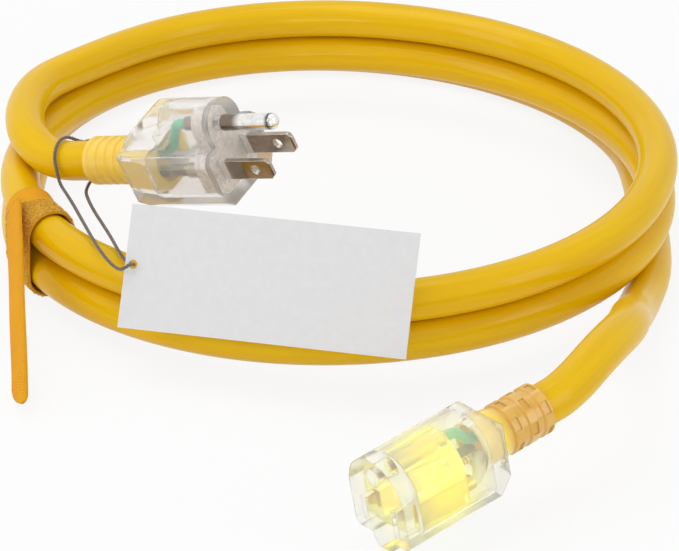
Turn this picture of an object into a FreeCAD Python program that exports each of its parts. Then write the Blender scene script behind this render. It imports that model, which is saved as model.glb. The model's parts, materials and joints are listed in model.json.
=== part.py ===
import FreeCAD, Part

import os
from math import acos, atan2, cos, degrees, pi, radians, sin, sqrt, tan

from FreeCAD import Matrix, Placement, Rotation, Vector

# An outdoor extension cord, wound into a coil of three turns that lies on a table.
# Millimetres, +Z up. The origin is the middle of the coil on the table, and the
# front of the coil, with the tag and the connector, faces -Y.

# Fits that seat one piece in another
FIT = 0.05
SOFT_CLEARANCE = 0.3

# The cord
CORD_DIAMETER = 12.0
LEAD_TUBE_TURN_SHARE = 0.45

# The coil: turns are counted from the left side, clockwise seen from above
COIL_RADIUS = 97.65
COIL_GROWTH_PER_TURN = 0.24
COIL_TURN_GAP = 0.45
COIL_SIDE_SLOPE = 0.0295
COIL_LOW_END_HEIGHT = 6.77
COIL_FIRST_TURN = 0.11
COIL_LAST_TURN = 2.0
HIDDEN_TURN_SETBACK = 30.0
HIDDEN_TURN_RIGHT_X = 96.8
HIDDEN_TURN_LEFT_X = -97.9
HIDDEN_TURN_DROP = 0.62
HIDDEN_TURN_END_Y = 8.0

# The two leads: hand-set corners between the coil and the moulded ends
PLUG_FIRST_BEND = 17.0
PLUG_LEAD_POINTS = ((-94.7, -6.4, 31.2), (-97.7, 7.4, 31.8), (-97.8, 20.4, 31.7), (-95.7, 32.4, 31.4))
COIL_LEAD_IN = 12.1
CONNECTOR_LEAD_POINTS = (
    (95.4, -34.3, 6.1), (90.7, -53.8, 6.9), (86.7, -73.2, 12.1), (84.3, -90.8, 21.1),
    (81.9, -109.6, 27.9), (74.3, -128.1, 30.7))
TABLE_RUN_Y = -14.0
CONNECTOR_FIRST_BEND = 10.3

# The plug: a grounded three-pin plug in clear moulded plastic
PLUG_FACE_PLACE = (-28.3, -56.7, 51.5)
PLUG_AZIMUTH = -34.0
PLUG_TILT = 17.0
PLUG_ROLL = 17.5
PLUG_HALF_WIDTH = 13.0
PLUG_BOTTOM = -10.0
PLUG_SHOULDER = 8.0
PLUG_LOBE_RADIUS = 7.5
PLUG_CORNER_BEVEL = 2.5
PLUG_SHOULDER_BEVEL = 2.0
PLUG_BODY_LENGTH = 37.0
PLUG_LOBE_LENGTH = 14.0
PLUG_REAR_TOP = 7.0
PLUG_REAR_HALF_WIDTH = 10.0
PLUG_REAR_BOTTOM = -9.0
PLUG_FULL_SECTION_LENGTH = 24.0
PLUG_FACE_WALL = 4.0
PLUG_SIDE_WALL = 2.4
PLUG_CHAMBER_END = 26.5
PLUG_THROAT_SETBACK = 3.0
PLUG_LOBE_SETBACK = 6.0
PLUG_CORD_HEIGHT = -0.8
PLUG_BOOT_END = 56.0
PLUG_JACKET_END = 29.0
PLUG_CARRIER_THICKNESS = 4.0
FACE_BOSS_PLACE = (0.0, 4.3)
FACE_BOSS_RADIUS = 1.6
FACE_BOSS_TOP_RADIUS = 1.2
FACE_BOSS_HEIGHT = 0.6

# Blades and pins of a 15 A, 125 V grounded plug, and the openings that take them
BLADE_SPACING = 12.7
BLADE_WIDTH = 6.35
BLADE_THICKNESS = 1.5
BLADE_LENGTH = 16.0
BLADE_HOLE_DIAMETER = 3.0
BLADE_HOLE_PLACE = 10.2
BLADE_TIP_CHAMFER = 1.2
BLADE_TAPER_LENGTH = 2.0
GROUND_PIN_HEIGHT = 11.9
GROUND_PIN_DIAMETER = 4.8
GROUND_PIN_LENGTH = 19.2
GROUND_PIN_NOSE = 2.0
GROUND_PIN_SHANK_DIAMETER = 4.2
GROUND_PIN_RECESS = 0.5
CRIMP_OUTER_RADIUS = 2.0
CRIMP_BORE_RADIUS = 1.05
CRIMP_LENGTH = 5.0
CRIMP_LAP = 0.5
BLADE_TAB_LENGTH = 1.6
PIN_TAIL_LENGTH = 5.4

# Insulated wires inside the cord: their places across it, and their bared ends
WIRE_PAIR_X = 2.7
WIRE_PAIR_DROP = 2.2
WIRE_TOP_RISE = 2.4
WIRE_RADIUS = 1.45
WIRE_CORE_RADIUS = 0.95
WIRE_CORE_LENGTH = 4.0
PLUG_LINE_TURNS = (-24.6, -19.4)
PLUG_NEUTRAL_TURNS = (-24.0, -19.0)
PLUG_GROUND_TURNS = (-24.4, -17.6)
CONNECTOR_PAIR_TURNS = (-31.4, -28.0)
CONNECTOR_GROUND_TURNS = (-31.6, -27.2)

# Ribbed boot behind the plug, with a faceted collar that the housing is moulded round
BOOT_GROOVE_WALL = 0.7
BOOT_RIB_WALL = 1.3
BOOT_RIB_COUNT = 5
COLLAR_SIDE_WALL = 2.1
COLLAR_FLAT_WALL = 1.2
COLLAR_SIDE_TOP = 6.2
COLLAR_SIDE_BOTTOM = -3.4
COLLAR_TOP_HALF_WIDTH = 3.2
COLLAR_BOTTOM_HALF_WIDTH = 3.6
COLLAR_WIDTH_GAIN = 1.16
COLLAR_HEIGHT_GAIN = 1.06
COLLAR_BEHIND_BODY = 1.8
RIB_LAP = 0.2

# The connector: the outlet end, in clear moulded plastic, with a lamp inside
CONNECTOR_FACE_PLACE = (14.0, -187.6)
CONNECTOR_AZIMUTH = 219.0
CONNECTOR_TILT = -10.5
CONNECTOR_ROLL = 4.4
CONNECTOR_HALF_WIDTH = 11.4
CONNECTOR_BOTTOM = -6.8
CONNECTOR_DOME_HEIGHT = 5.8
CONNECTOR_BEVEL = 1.5
CONNECTOR_RIB_RADIUS = 4.4
CONNECTOR_RIB_BOTTOM = -10.6
CONNECTOR_BODY_LENGTH = 37.0
CONNECTOR_DOME_LENGTH = 25.0
CONNECTOR_FULL_SECTION_LENGTH = 27.0
CONNECTOR_REAR_HALF_WIDTH = 8.8
CONNECTOR_REAR_RADIUS = 8.0
CONNECTOR_FACE_WALL = 6.0
CONNECTOR_SIDE_WALL = 1.6
CONNECTOR_CHAMBER_END = 31.0
CONNECTOR_CORD_HEIGHT = 4.8
CONNECTOR_BOOT_END = 55.5
CONNECTOR_JACKET_END = 34.0
CONNECTOR_CARRIER_REAR = 22.0
CONNECTOR_NECK_WALL = 1.1
LINE_SLOT_HEIGHT = 7.0
NEUTRAL_SLOT_HEIGHT = 8.2
SLOT_WIDTH = 2.0
GROUND_OPENING_RADIUS = 2.6
CONTACT_POCKET_WIDTH = 5.0
CONTACT_POCKET_HEIGHT = 8.4
CONTACT_LEAF_HEIGHT = 6.6
CONTACT_LEAF_THICKNESS = 0.6
CONTACT_GRIP_GAP = 0.08
CONTACT_MOUTH_SETBACK = 1.0
CONTACT_PINCH_SETBACK = 4.0
CONTACT_REAR = 20.8
CONTACT_BEND_SETBACK = 5.3
CONTACT_CRIMP_LAP = 0.2
GROUND_POCKET_RADIUS = 3.15
GROUND_CONTACT_WALL = 0.6
GROUND_CONTACT_REAR = 19.0
GROUND_SLIT_WIDTH = 0.8
GROUND_SLIT_STOP = 5.0
LAMP_HEIGHT = 3.2
LAMP_RADIUS = 2.4
LAMP_TIP = 12.4
LAMP_REAR = 20.0
LAMP_LEAD_RADIUS = 0.3
LAMP_LEAD_SPACING = 1.6
RESISTOR_PLACE = (3.6, 4.6)
RESISTOR_RADIUS = 1.1
RESISTOR_FRONT = 24.2
RESISTOR_REAR = 28.2
RESISTOR_CAP_LENGTH = 1.2
RESISTOR_WAIST_SHARE = 0.85
LINE_LEAD_TURNS = ((-3.6, -23.6), (-23.2, -23.2))
RESISTOR_LEAD_TURNS = (-28.8, -30.2, -29.8)
NEUTRAL_LEAD_TURNS = (-22.7, -23.0)
LEAD_TOUCH_INSET = 0.6
BAND_WALL = 1.4
BAND_GROOVE_WALL = 0.8
BAND_SLOPE_LENGTH = 4.6
BAND_COUNT = 3
BAND_LENGTH = 3.6
BAND_WINDOWS = 6
BAND_WINDOW_WIDTH = 3.6
BAND_WINDOW_INSET = 0.9
BAND_EDGE = 0.4

# The hook and loop strap round the two front turns
STRAP_WIDTH = 10.0
STRAP_THICKNESS = 0.9
STRAP_LOOSENESS = 0.5
STRAP_FIRST_ANGLE = 199.5
STRAP_TURN_STEP = 0.3
STRAP_TURN_OVERLAP = 0.4
STRAP_TAIL_ROOT_ANGLE = 203.42
STRAP_TAIL_ROOT_OUT = 6.75
STRAP_TAIL_ROOT_HEIGHT = 25.9
STRAP_TAIL_RUN = (8.9, -73.5, -20.95)
STRAP_TAIL_WIDTH_X = 0.43

# The card tag and its string
TAG_WIDTH = 83.5
TAG_HEIGHT = 35.3
TAG_THICKNESS = 0.6
TAG_LEAN = 30.0
TAG_AZIMUTH = 256.0
TAG_TURN = 2.2
TAG_OFFSET_ALONG = 5.8
TAG_OFFSET_UP = 6.2
TAG_HOLE_FROM_EDGE = 2.3
TAG_HOLE_UP = 0.5
TAG_HOLE_DIAMETER = 2.6
STRING_DIAMETER = 1.1
STRING_STATION = 7.4
STRING_LOOP_SLANT = 2.6
STRING_LOOP_FIRST_ANGLE = 50.0
STRING_LOOP_SPACING = 30.0
STRING_LOOP_CORNERS = 5
STRING_FRONT_POINTS = (
    (-83.4, -28.4, 27.0), (-80.6, -34.6, 26.4), (-77.8, -43.8, 27.4), (-75.0, -54.0, 28.6),
    (-71.6, -65.6, 29.6), (-68.2, -76.0, 30.0), (-64.6, -85.2, 30.4), (-61.6, -91.0, 30.9))
STRING_BACK_POINTS = (
    (-58.9, -85.4, 29.8), (-61.8, -78.6, 29.8), (-64.8, -69.2, 29.8), (-68.0, -58.8, 28.8),
    (-71.4, -47.2, 27.2), (-74.2, -36.0, 25.6), (-76.0, -26.8, 24.6))
KNOT_RADIUS = 1.6
KNOT_LENGTH = 3.4
KNOT_LIP = 0.2
KNOT_BELLY_SHARE = 0.4

# Values worked out from the sizes above
CORD_RADIUS = CORD_DIAMETER / 2
TURN_PITCH = CORD_DIAMETER + COIL_TURN_GAP
BOOT_BORE_RADIUS = CORD_RADIUS + FIT
BOOT_GROOVE_RADIUS = CORD_RADIUS + BOOT_GROOVE_WALL
BOOT_RIB_RADIUS = CORD_RADIUS + BOOT_RIB_WALL
CONNECTOR_NECK_RADIUS = CORD_RADIUS + CONNECTOR_NECK_WALL
BAND_RADIUS = CORD_RADIUS + BAND_WALL
BAND_GROOVE_RADIUS = CORD_RADIUS + BAND_GROOVE_WALL
BLADE_X = BLADE_SPACING / 2
PLUG_BOOT_START = PLUG_BODY_LENGTH + COLLAR_BEHIND_BODY
CARRIER_REAR = PLUG_FACE_WALL + PLUG_CARRIER_THICKNESS
BLADE_ROOT_LENGTH = CARRIER_REAR + BLADE_TAB_LENGTH
PIN_ROOT_LENGTH = CARRIER_REAR + PIN_TAIL_LENGTH
PIN_RADIUS = GROUND_PIN_DIAMETER / 2
PIN_SHANK_RADIUS = GROUND_PIN_SHANK_DIAMETER / 2
STRING_RADIUS = STRING_DIAMETER / 2
KNOT_DISTANCE = CORD_RADIUS + KNOT_RADIUS + SOFT_CLEARANCE


# Small geometry helpers

def vec(values):
    return Vector(*values)


def unit(vector):
    return Vector(vector).normalize()


def pose(face, azimuth, tilt, roll):
    """Placement whose local axes are across, up and forward along the plug's pins."""
    a, e, r = radians(azimuth), radians(tilt), radians(roll)
    forward = Vector(cos(a) * cos(e), sin(a) * cos(e), sin(e))
    level = Vector(-sin(a), cos(a), 0)
    across = level * cos(r) + forward.cross(level) * sin(r)
    up = forward.cross(across)
    return Placement(Matrix(
        across.x, up.x, forward.x, face.x,
        across.y, up.y, forward.y, face.y,
        across.z, up.z, forward.z, face.z,
        0, 0, 0, 1))


def direction(placement, local):
    return placement.Rotation.multVec(vec(local))


def outline(start, *steps):
    """Closed flat face at z = 0. A step is a point, or a pair of a point on an arc and its end."""
    here = Vector(*start, 0)
    edges = []
    for step in steps + (start,):
        if isinstance(step[0], tuple):
            middle, end = (Vector(*point, 0) for point in step)
            edges.append(Part.Arc(here, middle, end).toShape())
        else:
            end = Vector(*step, 0)
            if (end - here).Length < 1e-7:
                continue
            edges.append(Part.LineSegment(here, end).toShape())
        here = end
    return Part.Face(Part.Wire(edges))


def prism(face, front, back):
    """The face, carried from depth front to depth back behind the origin plane."""
    solid = face.extrude(Vector(0, 0, back - front))
    solid.translate(Vector(0, 0, -back))
    return solid


def side_form(face, half_width):
    """A side view drawn as (forward, up), carried across the piece."""
    solid = face.extrude(Vector(0, 0, 2 * half_width))
    solid.rotate(Vector(0, 0, 0), Vector(0, 1, 0), -90)
    solid.translate(Vector(half_width, 0, 0))
    return solid


def plan_form(face, low, high):
    """A top view drawn as (across, forward), carried up from low to high."""
    solid = face.extrude(Vector(0, 0, high - low))
    solid.rotate(Vector(0, 0, 0), Vector(1, 0, 0), 90)
    solid.translate(Vector(0, high, 0))
    return solid


def rod(radius, front, back, x=0.0, y=0.0):
    return Part.makeCylinder(radius, back - front, Vector(x, y, -back), Vector(0, 0, 1))


def block(width, height, front, back, x=0.0, y=0.0):
    return Part.makeBox(width, height, back - front, Vector(x - width / 2, y - height / 2, -back))


def turned(points):
    """Solid of revolution about the forward axis from (radius, forward) points."""
    wire = Part.makePolygon([Vector(r, 0, z) for r, z in points + points[:1]])
    return Part.Face(wire).revolve(Vector(0, 0, 0), Vector(0, 0, 1), 360)


# Cord geometry

def tube(path, radius, start, heading):
    """Round tube along a path of tangent edges."""
    circle = Part.Wire(Part.makeCircle(radius, start, heading))
    return Part.Wire(path).makePipeShell([circle], True, False)


def rounded_path(corners):
    """Straight runs joined by tangent arcs, each as large as its two runs allow."""
    edges, radii = [], []
    here = corners[0]
    for before, corner, after in zip(corners, corners[1:], corners[2:]):
        back, on = before - corner, after - corner
        shorter = min(back.Length, on.Length)
        half_turn = (pi - back.getAngle(on)) / 2
        reach = LEAD_TUBE_TURN_SHARE * shorter
        radius = reach / tan(half_turn)
        enter = corner + unit(back) * reach
        leave = corner + unit(on) * reach
        inward = unit(unit(back) + unit(on))
        middle = corner + inward * (radius / cos(half_turn) - radius)
        edges.append(Part.LineSegment(here, enter).toShape())
        edges.append(Part.Arc(enter, middle, leave).toShape())
        radii.append(radius)
        here = leave
    edges.append(Part.LineSegment(here, corners[-1]).toShape())
    return edges, radii


def free_tube(name, corners, diameter):
    """Tube through hand-set corners, with its radii and volume printed."""
    path, radii = rounded_path(corners)
    solid = tube(path, diameter / 2, corners[0], corners[1] - corners[0])
    length = sum(edge.Length for edge in path)
    ratio = solid.Volume / (pi * diameter ** 2 / 4 * length)
    shown = ", ".join(f"{radius / diameter:.1f}" for radius in radii)
    print(f"{name}: length {length:.1f}, bend radii in diameters {shown}, volume ratio {ratio:.4f}")
    return solid, length


def arc_edge(start, heading, end):
    """The circular arc that leaves start along heading and reaches end."""
    chord = end - start
    along = unit(chord)
    angle = heading.getAngle(chord)
    if angle < 1e-4:
        return Part.LineSegment(start, end).toShape()
    outward = unit(heading - along * heading.dot(along))
    middle = (start + end) / 2 + outward * (chord.Length / 2 * tan(angle / 2))
    return Part.Arc(start, middle, end).toShape()


def biarc(start, heading, end, arrival):
    """Two arcs that meet in one tangent and join two places with their headings."""
    chord = end - start
    total = heading + arrival
    spread = 2 * (1 - heading.dot(arrival))
    if spread < 1e-9:
        reach = chord.dot(chord) / (4 * chord.dot(arrival))
    else:
        across = chord.dot(total)
        reach = (-across + sqrt(across ** 2 + spread * chord.dot(chord))) / spread
    joint = (start + end + (heading - arrival) * reach) / 2
    along = unit(joint - start)
    joint_heading = along * (2 * along.dot(heading)) - heading
    return [arc_edge(start, heading, joint), arc_edge(joint, joint_heading, end)]


def coil_place(turns):
    """Centre of the cord and its heading after so many turns."""
    angle = pi - 2 * pi * turns
    radius = COIL_RADIUS + COIL_GROWTH_PER_TURN * (turns - 0.75)
    x, y = radius * cos(angle), radius * sin(angle)
    z = (COIL_LOW_END_HEIGHT + TURN_PITCH * (COIL_LAST_TURN - turns)
         + COIL_SIDE_SLOPE * (x + COIL_RADIUS))
    dx = COIL_GROWTH_PER_TURN * cos(angle) + 2 * pi * y
    dy = COIL_GROWTH_PER_TURN * sin(angle) - 2 * pi * x
    dz = -TURN_PITCH + COIL_SIDE_SLOPE * dx
    return Vector(x, y, z), unit(Vector(dx, dy, dz))


def coil_knots():
    """Places and headings along the coil: quarter turns, then the hidden turn behind."""
    turns = [COIL_FIRST_TURN]
    turns += [quarter / 4 for quarter in range(1, int(COIL_LAST_TURN * 4) + 1)]
    knots = [coil_place(turn) for turn in turns]
    radius = (HIDDEN_TURN_RIGHT_X - HIDDEN_TURN_LEFT_X) / 2
    middle_x = (HIDDEN_TURN_RIGHT_X + HIDDEN_TURN_LEFT_X) / 2
    left_z = COIL_LOW_END_HEIGHT - HIDDEN_TURN_DROP
    left_slope = 2 * (CORD_RADIUS - left_z) / (radius * pi / 2)
    knots.append((Vector(HIDDEN_TURN_LEFT_X, HIDDEN_TURN_SETBACK, left_z), unit(Vector(0, 1, left_slope))))
    knots.append((Vector(middle_x, HIDDEN_TURN_SETBACK + radius, CORD_RADIUS), Vector(1, 0, 0)))
    knots.append((Vector(HIDDEN_TURN_RIGHT_X, HIDDEN_TURN_SETBACK, CORD_RADIUS), Vector(0, -1, 0)))
    return knots


def self_gap(edges, apart, diameter):
    """Least gap of a wound tube to itself, measured on points along its centre line."""
    places, travel, so_far = [], [], 0.0
    for edge in edges:
        count = max(2, int(edge.Length / 3))
        for point in edge.discretize(Number=count)[:-1]:
            if places:
                so_far += (point - places[-1]).Length
            places.append(point)
            travel.append(so_far)
    least = min((places[i] - places[j]).Length
                for i in range(len(places)) for j in range(i)
                if travel[i] - travel[j] > apart)
    return least - diameter


def coil_turns():
    knots = coil_knots()
    start, heading = knots[0]
    begin = start - heading * CORD_DIAMETER
    path = [Part.LineSegment(begin, start).toShape()]
    for (place, before), (goal, after) in zip(knots, knots[1:]):
        path += biarc(place, before, goal, after)
    finish = Vector(HIDDEN_TURN_RIGHT_X, HIDDEN_TURN_END_Y, CORD_RADIUS)
    path.append(Part.LineSegment(knots[-1][0], finish).toShape())
    solid = tube(path, CORD_RADIUS, begin, heading)
    length = sum(edge.Length for edge in path)
    ratio = solid.Volume / (pi * CORD_RADIUS ** 2 * length)
    gap = self_gap(path, 4 * CORD_DIAMETER, CORD_DIAMETER)
    print(f"coil: length {length:.1f}, volume ratio {ratio:.4f}, least self gap {gap:.3f}")
    return solid, length, begin, heading, finish


# Plug, drawn with its face at the origin plane, pins forward

def plug_outline(inset=0.0, lobe=True):
    wide = PLUG_HALF_WIDTH - inset
    low = PLUG_BOTTOM + inset
    high = PLUG_SHOULDER - inset
    bevel, edge = PLUG_CORNER_BEVEL, PLUG_SHOULDER_BEVEL
    lobe_radius = PLUG_LOBE_RADIUS - inset
    right = [(wide - bevel, low), (wide, low + bevel), (wide, high - edge), (wide - edge, high)]
    left = [(-x, y) for x, y in reversed(right)]
    if not lobe:
        return outline(right[0], *right[1:], *left)
    top = [(lobe_radius, high), (lobe_radius, GROUND_PIN_HEIGHT),
           ((0, GROUND_PIN_HEIGHT + lobe_radius), (-lobe_radius, GROUND_PIN_HEIGHT)),
           (-lobe_radius, high)]
    return outline(right[0], *right[1:], *top, *left)


def falling_arc(length, top, end_length, end_height):
    """A side-view arc that leaves a level top line and falls to the rear: middle and end."""
    run, fall = end_length - length, top - end_height
    radius = (run ** 2 + fall ** 2) / (2 * fall)
    half = atan2(run, radius - fall) / 2
    middle = (-length - radius * sin(half), top - radius + radius * cos(half))
    return middle, (-end_length, end_height)


def housing_form(section, length, top, bottom, flat_top, full, rear_top, rear_bottom, rear_half, half):
    """Section carried back, then narrowed in side view and in plan towards the cord."""
    side = outline((0, bottom - 1), (0, top), (-flat_top, top),
                   falling_arc(flat_top, top, length, rear_top),
                   (-length, rear_bottom), (-full, bottom), (-full, bottom - 1))
    plan = outline((half + 1, 0), (-half - 1, 0), (-half, -full), (-rear_half, -length),
                   (rear_half, -length), (half, -full))
    body = prism(section, 0, length)
    body = body.common(side_form(side, half + 5))
    return body.common(plan_form(plan, bottom - 5, top + 5))


def blade_slots(clearance, front, back):
    width, height = BLADE_THICKNESS + 2 * clearance, BLADE_WIDTH + 2 * clearance
    slots = [block(width, height, front, back, x) for x in (-BLADE_X, BLADE_X)]
    return slots + [rod(PIN_SHANK_RADIUS + clearance, front, back, 0, GROUND_PIN_HEIGHT)]


def plug_housing():
    top = GROUND_PIN_HEIGHT + PLUG_LOBE_RADIUS
    body = housing_form(plug_outline(), PLUG_BODY_LENGTH, top, PLUG_BOTTOM, PLUG_LOBE_LENGTH,
                        PLUG_FULL_SECTION_LENGTH, PLUG_REAR_TOP, PLUG_REAR_BOTTOM,
                        PLUG_REAR_HALF_WIDTH, PLUG_HALF_WIDTH)
    chamber = prism(plug_outline(PLUG_SIDE_WALL, lobe=False), PLUG_FACE_WALL, PLUG_CHAMBER_END)
    lobe_width = 2 * (PLUG_LOBE_RADIUS - PLUG_SIDE_WALL)
    lobe_bottom = PLUG_SHOULDER - PLUG_SIDE_WALL - 0.1
    throat = block(lobe_width, GROUND_PIN_HEIGHT - lobe_bottom, PLUG_FACE_WALL,
                   PLUG_CHAMBER_END - PLUG_THROAT_SETBACK, 0, (GROUND_PIN_HEIGHT + lobe_bottom) / 2)
    lobe = rod(lobe_width / 2, PLUG_FACE_WALL, PLUG_CHAMBER_END - PLUG_LOBE_SETBACK, 0, GROUND_PIN_HEIGHT)
    recess = rod(PIN_RADIUS + FIT, -1, GROUND_PIN_RECESS, 0, GROUND_PIN_HEIGHT)
    hollows = [chamber, throat, lobe, recess, boot_collar(FIT)]
    hollows += blade_slots(FIT, -1, PLUG_FACE_WALL + 1)
    boss = Part.makeCone(FACE_BOSS_RADIUS, FACE_BOSS_TOP_RADIUS, FACE_BOSS_HEIGHT,
                         Vector(*FACE_BOSS_PLACE, 0), Vector(0, 0, 1))
    return body.cut(hollows).fuse(boss)


def plug_blade_carrier():
    inset = PLUG_SIDE_WALL + 2 * FIT
    plate = prism(plug_outline(inset), PLUG_FACE_WALL + FIT, CARRIER_REAR)
    return plate.cut(blade_slots(FIT, 0, CARRIER_REAR + 1))


def crimp(front, x, y):
    """Open barrel that grips the bared end of a wire."""
    barrel = rod(CRIMP_OUTER_RADIUS, front, front + CRIMP_LENGTH, x, y)
    return barrel.cut(rod(CRIMP_BORE_RADIUS, front + 0.5, front + CRIMP_LENGTH + 1, x, y))


def plug_blade(side):
    half, tip = BLADE_WIDTH / 2, BLADE_LENGTH
    shape = outline((-BLADE_ROOT_LENGTH, -half), (tip - BLADE_TIP_CHAMFER, -half),
                    (tip, -half + BLADE_TIP_CHAMFER), (tip, half - BLADE_TIP_CHAMFER),
                    (tip - BLADE_TIP_CHAMFER, half), (-BLADE_ROOT_LENGTH, half))
    blade = side_form(shape, BLADE_THICKNESS / 2)
    taper = tip - BLADE_TAPER_LENGTH
    wedge = outline((-BLADE_THICKNESS, -PLUG_BODY_LENGTH), (BLADE_THICKNESS, -PLUG_BODY_LENGTH),
                    (BLADE_THICKNESS, taper), (BLADE_THICKNESS / 4, tip + 0.1),
                    (-BLADE_THICKNESS / 4, tip + 0.1), (-BLADE_THICKNESS, taper))
    blade = blade.common(plan_form(wedge, -BLADE_WIDTH, BLADE_WIDTH))
    hole = Part.makeCylinder(BLADE_HOLE_DIAMETER / 2, 4 * BLADE_THICKNESS,
                             Vector(-2 * BLADE_THICKNESS, 0, BLADE_HOLE_PLACE), Vector(1, 0, 0))
    blade = blade.cut(hole).fuse(crimp(BLADE_ROOT_LENGTH - CRIMP_LAP, 0, 0))
    blade.translate(Vector(side * BLADE_X, 0, 0))
    return blade


def plug_ground_pin():
    """Round-nosed pin on a thinner shank, which the housing and the carrier hold."""
    tip, flat = GROUND_PIN_LENGTH, PIN_RADIUS - GROUND_PIN_NOSE
    shoulder = tip - GROUND_PIN_NOSE
    swing = GROUND_PIN_NOSE * sin(pi / 4)
    nose = Part.Arc(Vector(PIN_RADIUS, 0, shoulder), Vector(flat + swing, 0, shoulder + swing),
                    Vector(flat, 0, tip)).toShape()
    side = Part.makePolygon([Vector(flat, 0, tip), Vector(0, 0, tip), Vector(0, 0, -PIN_ROOT_LENGTH),
                             Vector(PIN_SHANK_RADIUS, 0, -PIN_ROOT_LENGTH), Vector(PIN_SHANK_RADIUS, 0, FIT),
                             Vector(PIN_RADIUS, 0, FIT), Vector(PIN_RADIUS, 0, shoulder)])
    pin = Part.Face(Part.Wire([nose] + side.Edges)).revolve(Vector(0, 0, 0), Vector(0, 0, 1), 360)
    pin = pin.cut(rod(CRIMP_BORE_RADIUS, PIN_ROOT_LENGTH - CRIMP_LENGTH, PIN_ROOT_LENGTH + 1))
    pin.translate(Vector(0, GROUND_PIN_HEIGHT, 0))
    return pin


def wire(corners):
    """Insulated wire from the jacket to a crimp barrel, with its bared end inside the barrel."""
    points = [vec(corner) for corner in corners]
    path, _ = rounded_path(points)
    cover = tube(path, WIRE_RADIUS, points[0], points[1] - points[0])
    last = points[-1]
    core = Part.makeCylinder(WIRE_CORE_RADIUS, WIRE_CORE_LENGTH, last, Vector(0, 0, 1))
    return cover.fuse(core)


def wire_between(jacket, turns, terminal):
    """A wire that leaves the jacket straight, crosses over, and runs straight into its barrel."""
    return wire([jacket, (jacket[0], jacket[1], turns[0]), (terminal[0], terminal[1], turns[1]), terminal])


def plug_wires():
    start = -PLUG_JACKET_END + FIT
    blade_end = -(BLADE_ROOT_LENGTH - CRIMP_LAP + CRIMP_LENGTH) - FIT
    pin_end = -PIN_ROOT_LENGTH - FIT
    side, low, high = WIRE_PAIR_X, PLUG_CORD_HEIGHT - WIRE_PAIR_DROP, PLUG_CORD_HEIGHT + WIRE_TOP_RISE
    line = wire_between((-side, low, start), PLUG_LINE_TURNS, (-BLADE_X, 0, blade_end))
    neutral = wire_between((side, low, start), PLUG_NEUTRAL_TURNS, (BLADE_X, 0, blade_end))
    ground = wire_between((0, high, start), PLUG_GROUND_TURNS, (0, GROUND_PIN_HEIGHT, pin_end))
    return line, neutral, ground


def boot_collar(clearance=0.0):
    """Eight-sided block round the cord, a little wider inside the housing than behind it."""
    wide = CORD_RADIUS + COLLAR_SIDE_WALL + clearance
    tall = CORD_RADIUS + COLLAR_FLAT_WALL + clearance
    right = [(COLLAR_BOTTOM_HALF_WIDTH, -tall), (wide, COLLAR_SIDE_BOTTOM), (wide, COLLAR_SIDE_TOP),
             (COLLAR_TOP_HALF_WIDTH, tall)]
    corners = right + [(-x, y) for x, y in reversed(right)]
    rings = []
    for depth, widen, heighten in ((PLUG_CHAMBER_END, COLLAR_WIDTH_GAIN, COLLAR_HEIGHT_GAIN),
                                   (PLUG_BOOT_START, 1, 1)):
        points = [Vector(x * widen, PLUG_CORD_HEIGHT + y * heighten, -depth) for x, y in corners]
        rings.append(Part.makePolygon(points + points[:1]))
    return Part.makeLoft(rings, True, True)


def plug_strain_relief():
    """Yellow boot: a faceted collar held in the housing, then the ribs."""
    y = PLUG_CORD_HEIGHT
    ribs_start = PLUG_BOOT_START - RIB_LAP
    step = (PLUG_BOOT_END - ribs_start) / BOOT_RIB_COUNT
    profile = [(0, -ribs_start)]
    for rib in range(BOOT_RIB_COUNT):
        z = -ribs_start - rib * step
        profile += [(BOOT_GROOVE_RADIUS, z), (BOOT_GROOVE_RADIUS, z - 0.3 * step),
                    (BOOT_RIB_RADIUS, z - 0.45 * step), (BOOT_RIB_RADIUS, z - 0.85 * step)]
    profile += [(BOOT_GROOVE_RADIUS, -PLUG_BOOT_END), (0, -PLUG_BOOT_END)]
    ribs = turned(profile)
    ribs.translate(Vector(0, y, 0))
    bore = rod(BOOT_BORE_RADIUS, PLUG_CHAMBER_END - 1, PLUG_BOOT_END + 1, 0, y)
    return boot_collar().fuse(ribs).cut(bore)


# Connector, drawn with its face at the origin plane, its openings forward

def connector_outline(inset=0.0, rib=True):
    radius = CONNECTOR_HALF_WIDTH - inset
    low, bevel = CONNECTOR_BOTTOM + inset, CONNECTOR_BEVEL
    dome = CONNECTOR_DOME_HEIGHT
    upper = [(radius, low + bevel), (radius, dome), ((0, dome + radius), (-radius, dome)),
             (-radius, low + bevel), (bevel - radius, low)]
    if not rib:
        return outline((radius - bevel, low), *upper)
    r, flat = CONNECTOR_RIB_RADIUS, CONNECTOR_RIB_BOTTOM
    half_flat = sqrt(r ** 2 - (low - flat) ** 2)
    swing = acos(half_flat / r) / 2
    side = (r * cos(swing), low - r * sin(swing))
    keel = [(-r, low), ((-side[0], side[1]), (-half_flat, flat)), (half_flat, flat), (side, (r, low))]
    return outline((radius - bevel, low), *upper, *keel)


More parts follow.
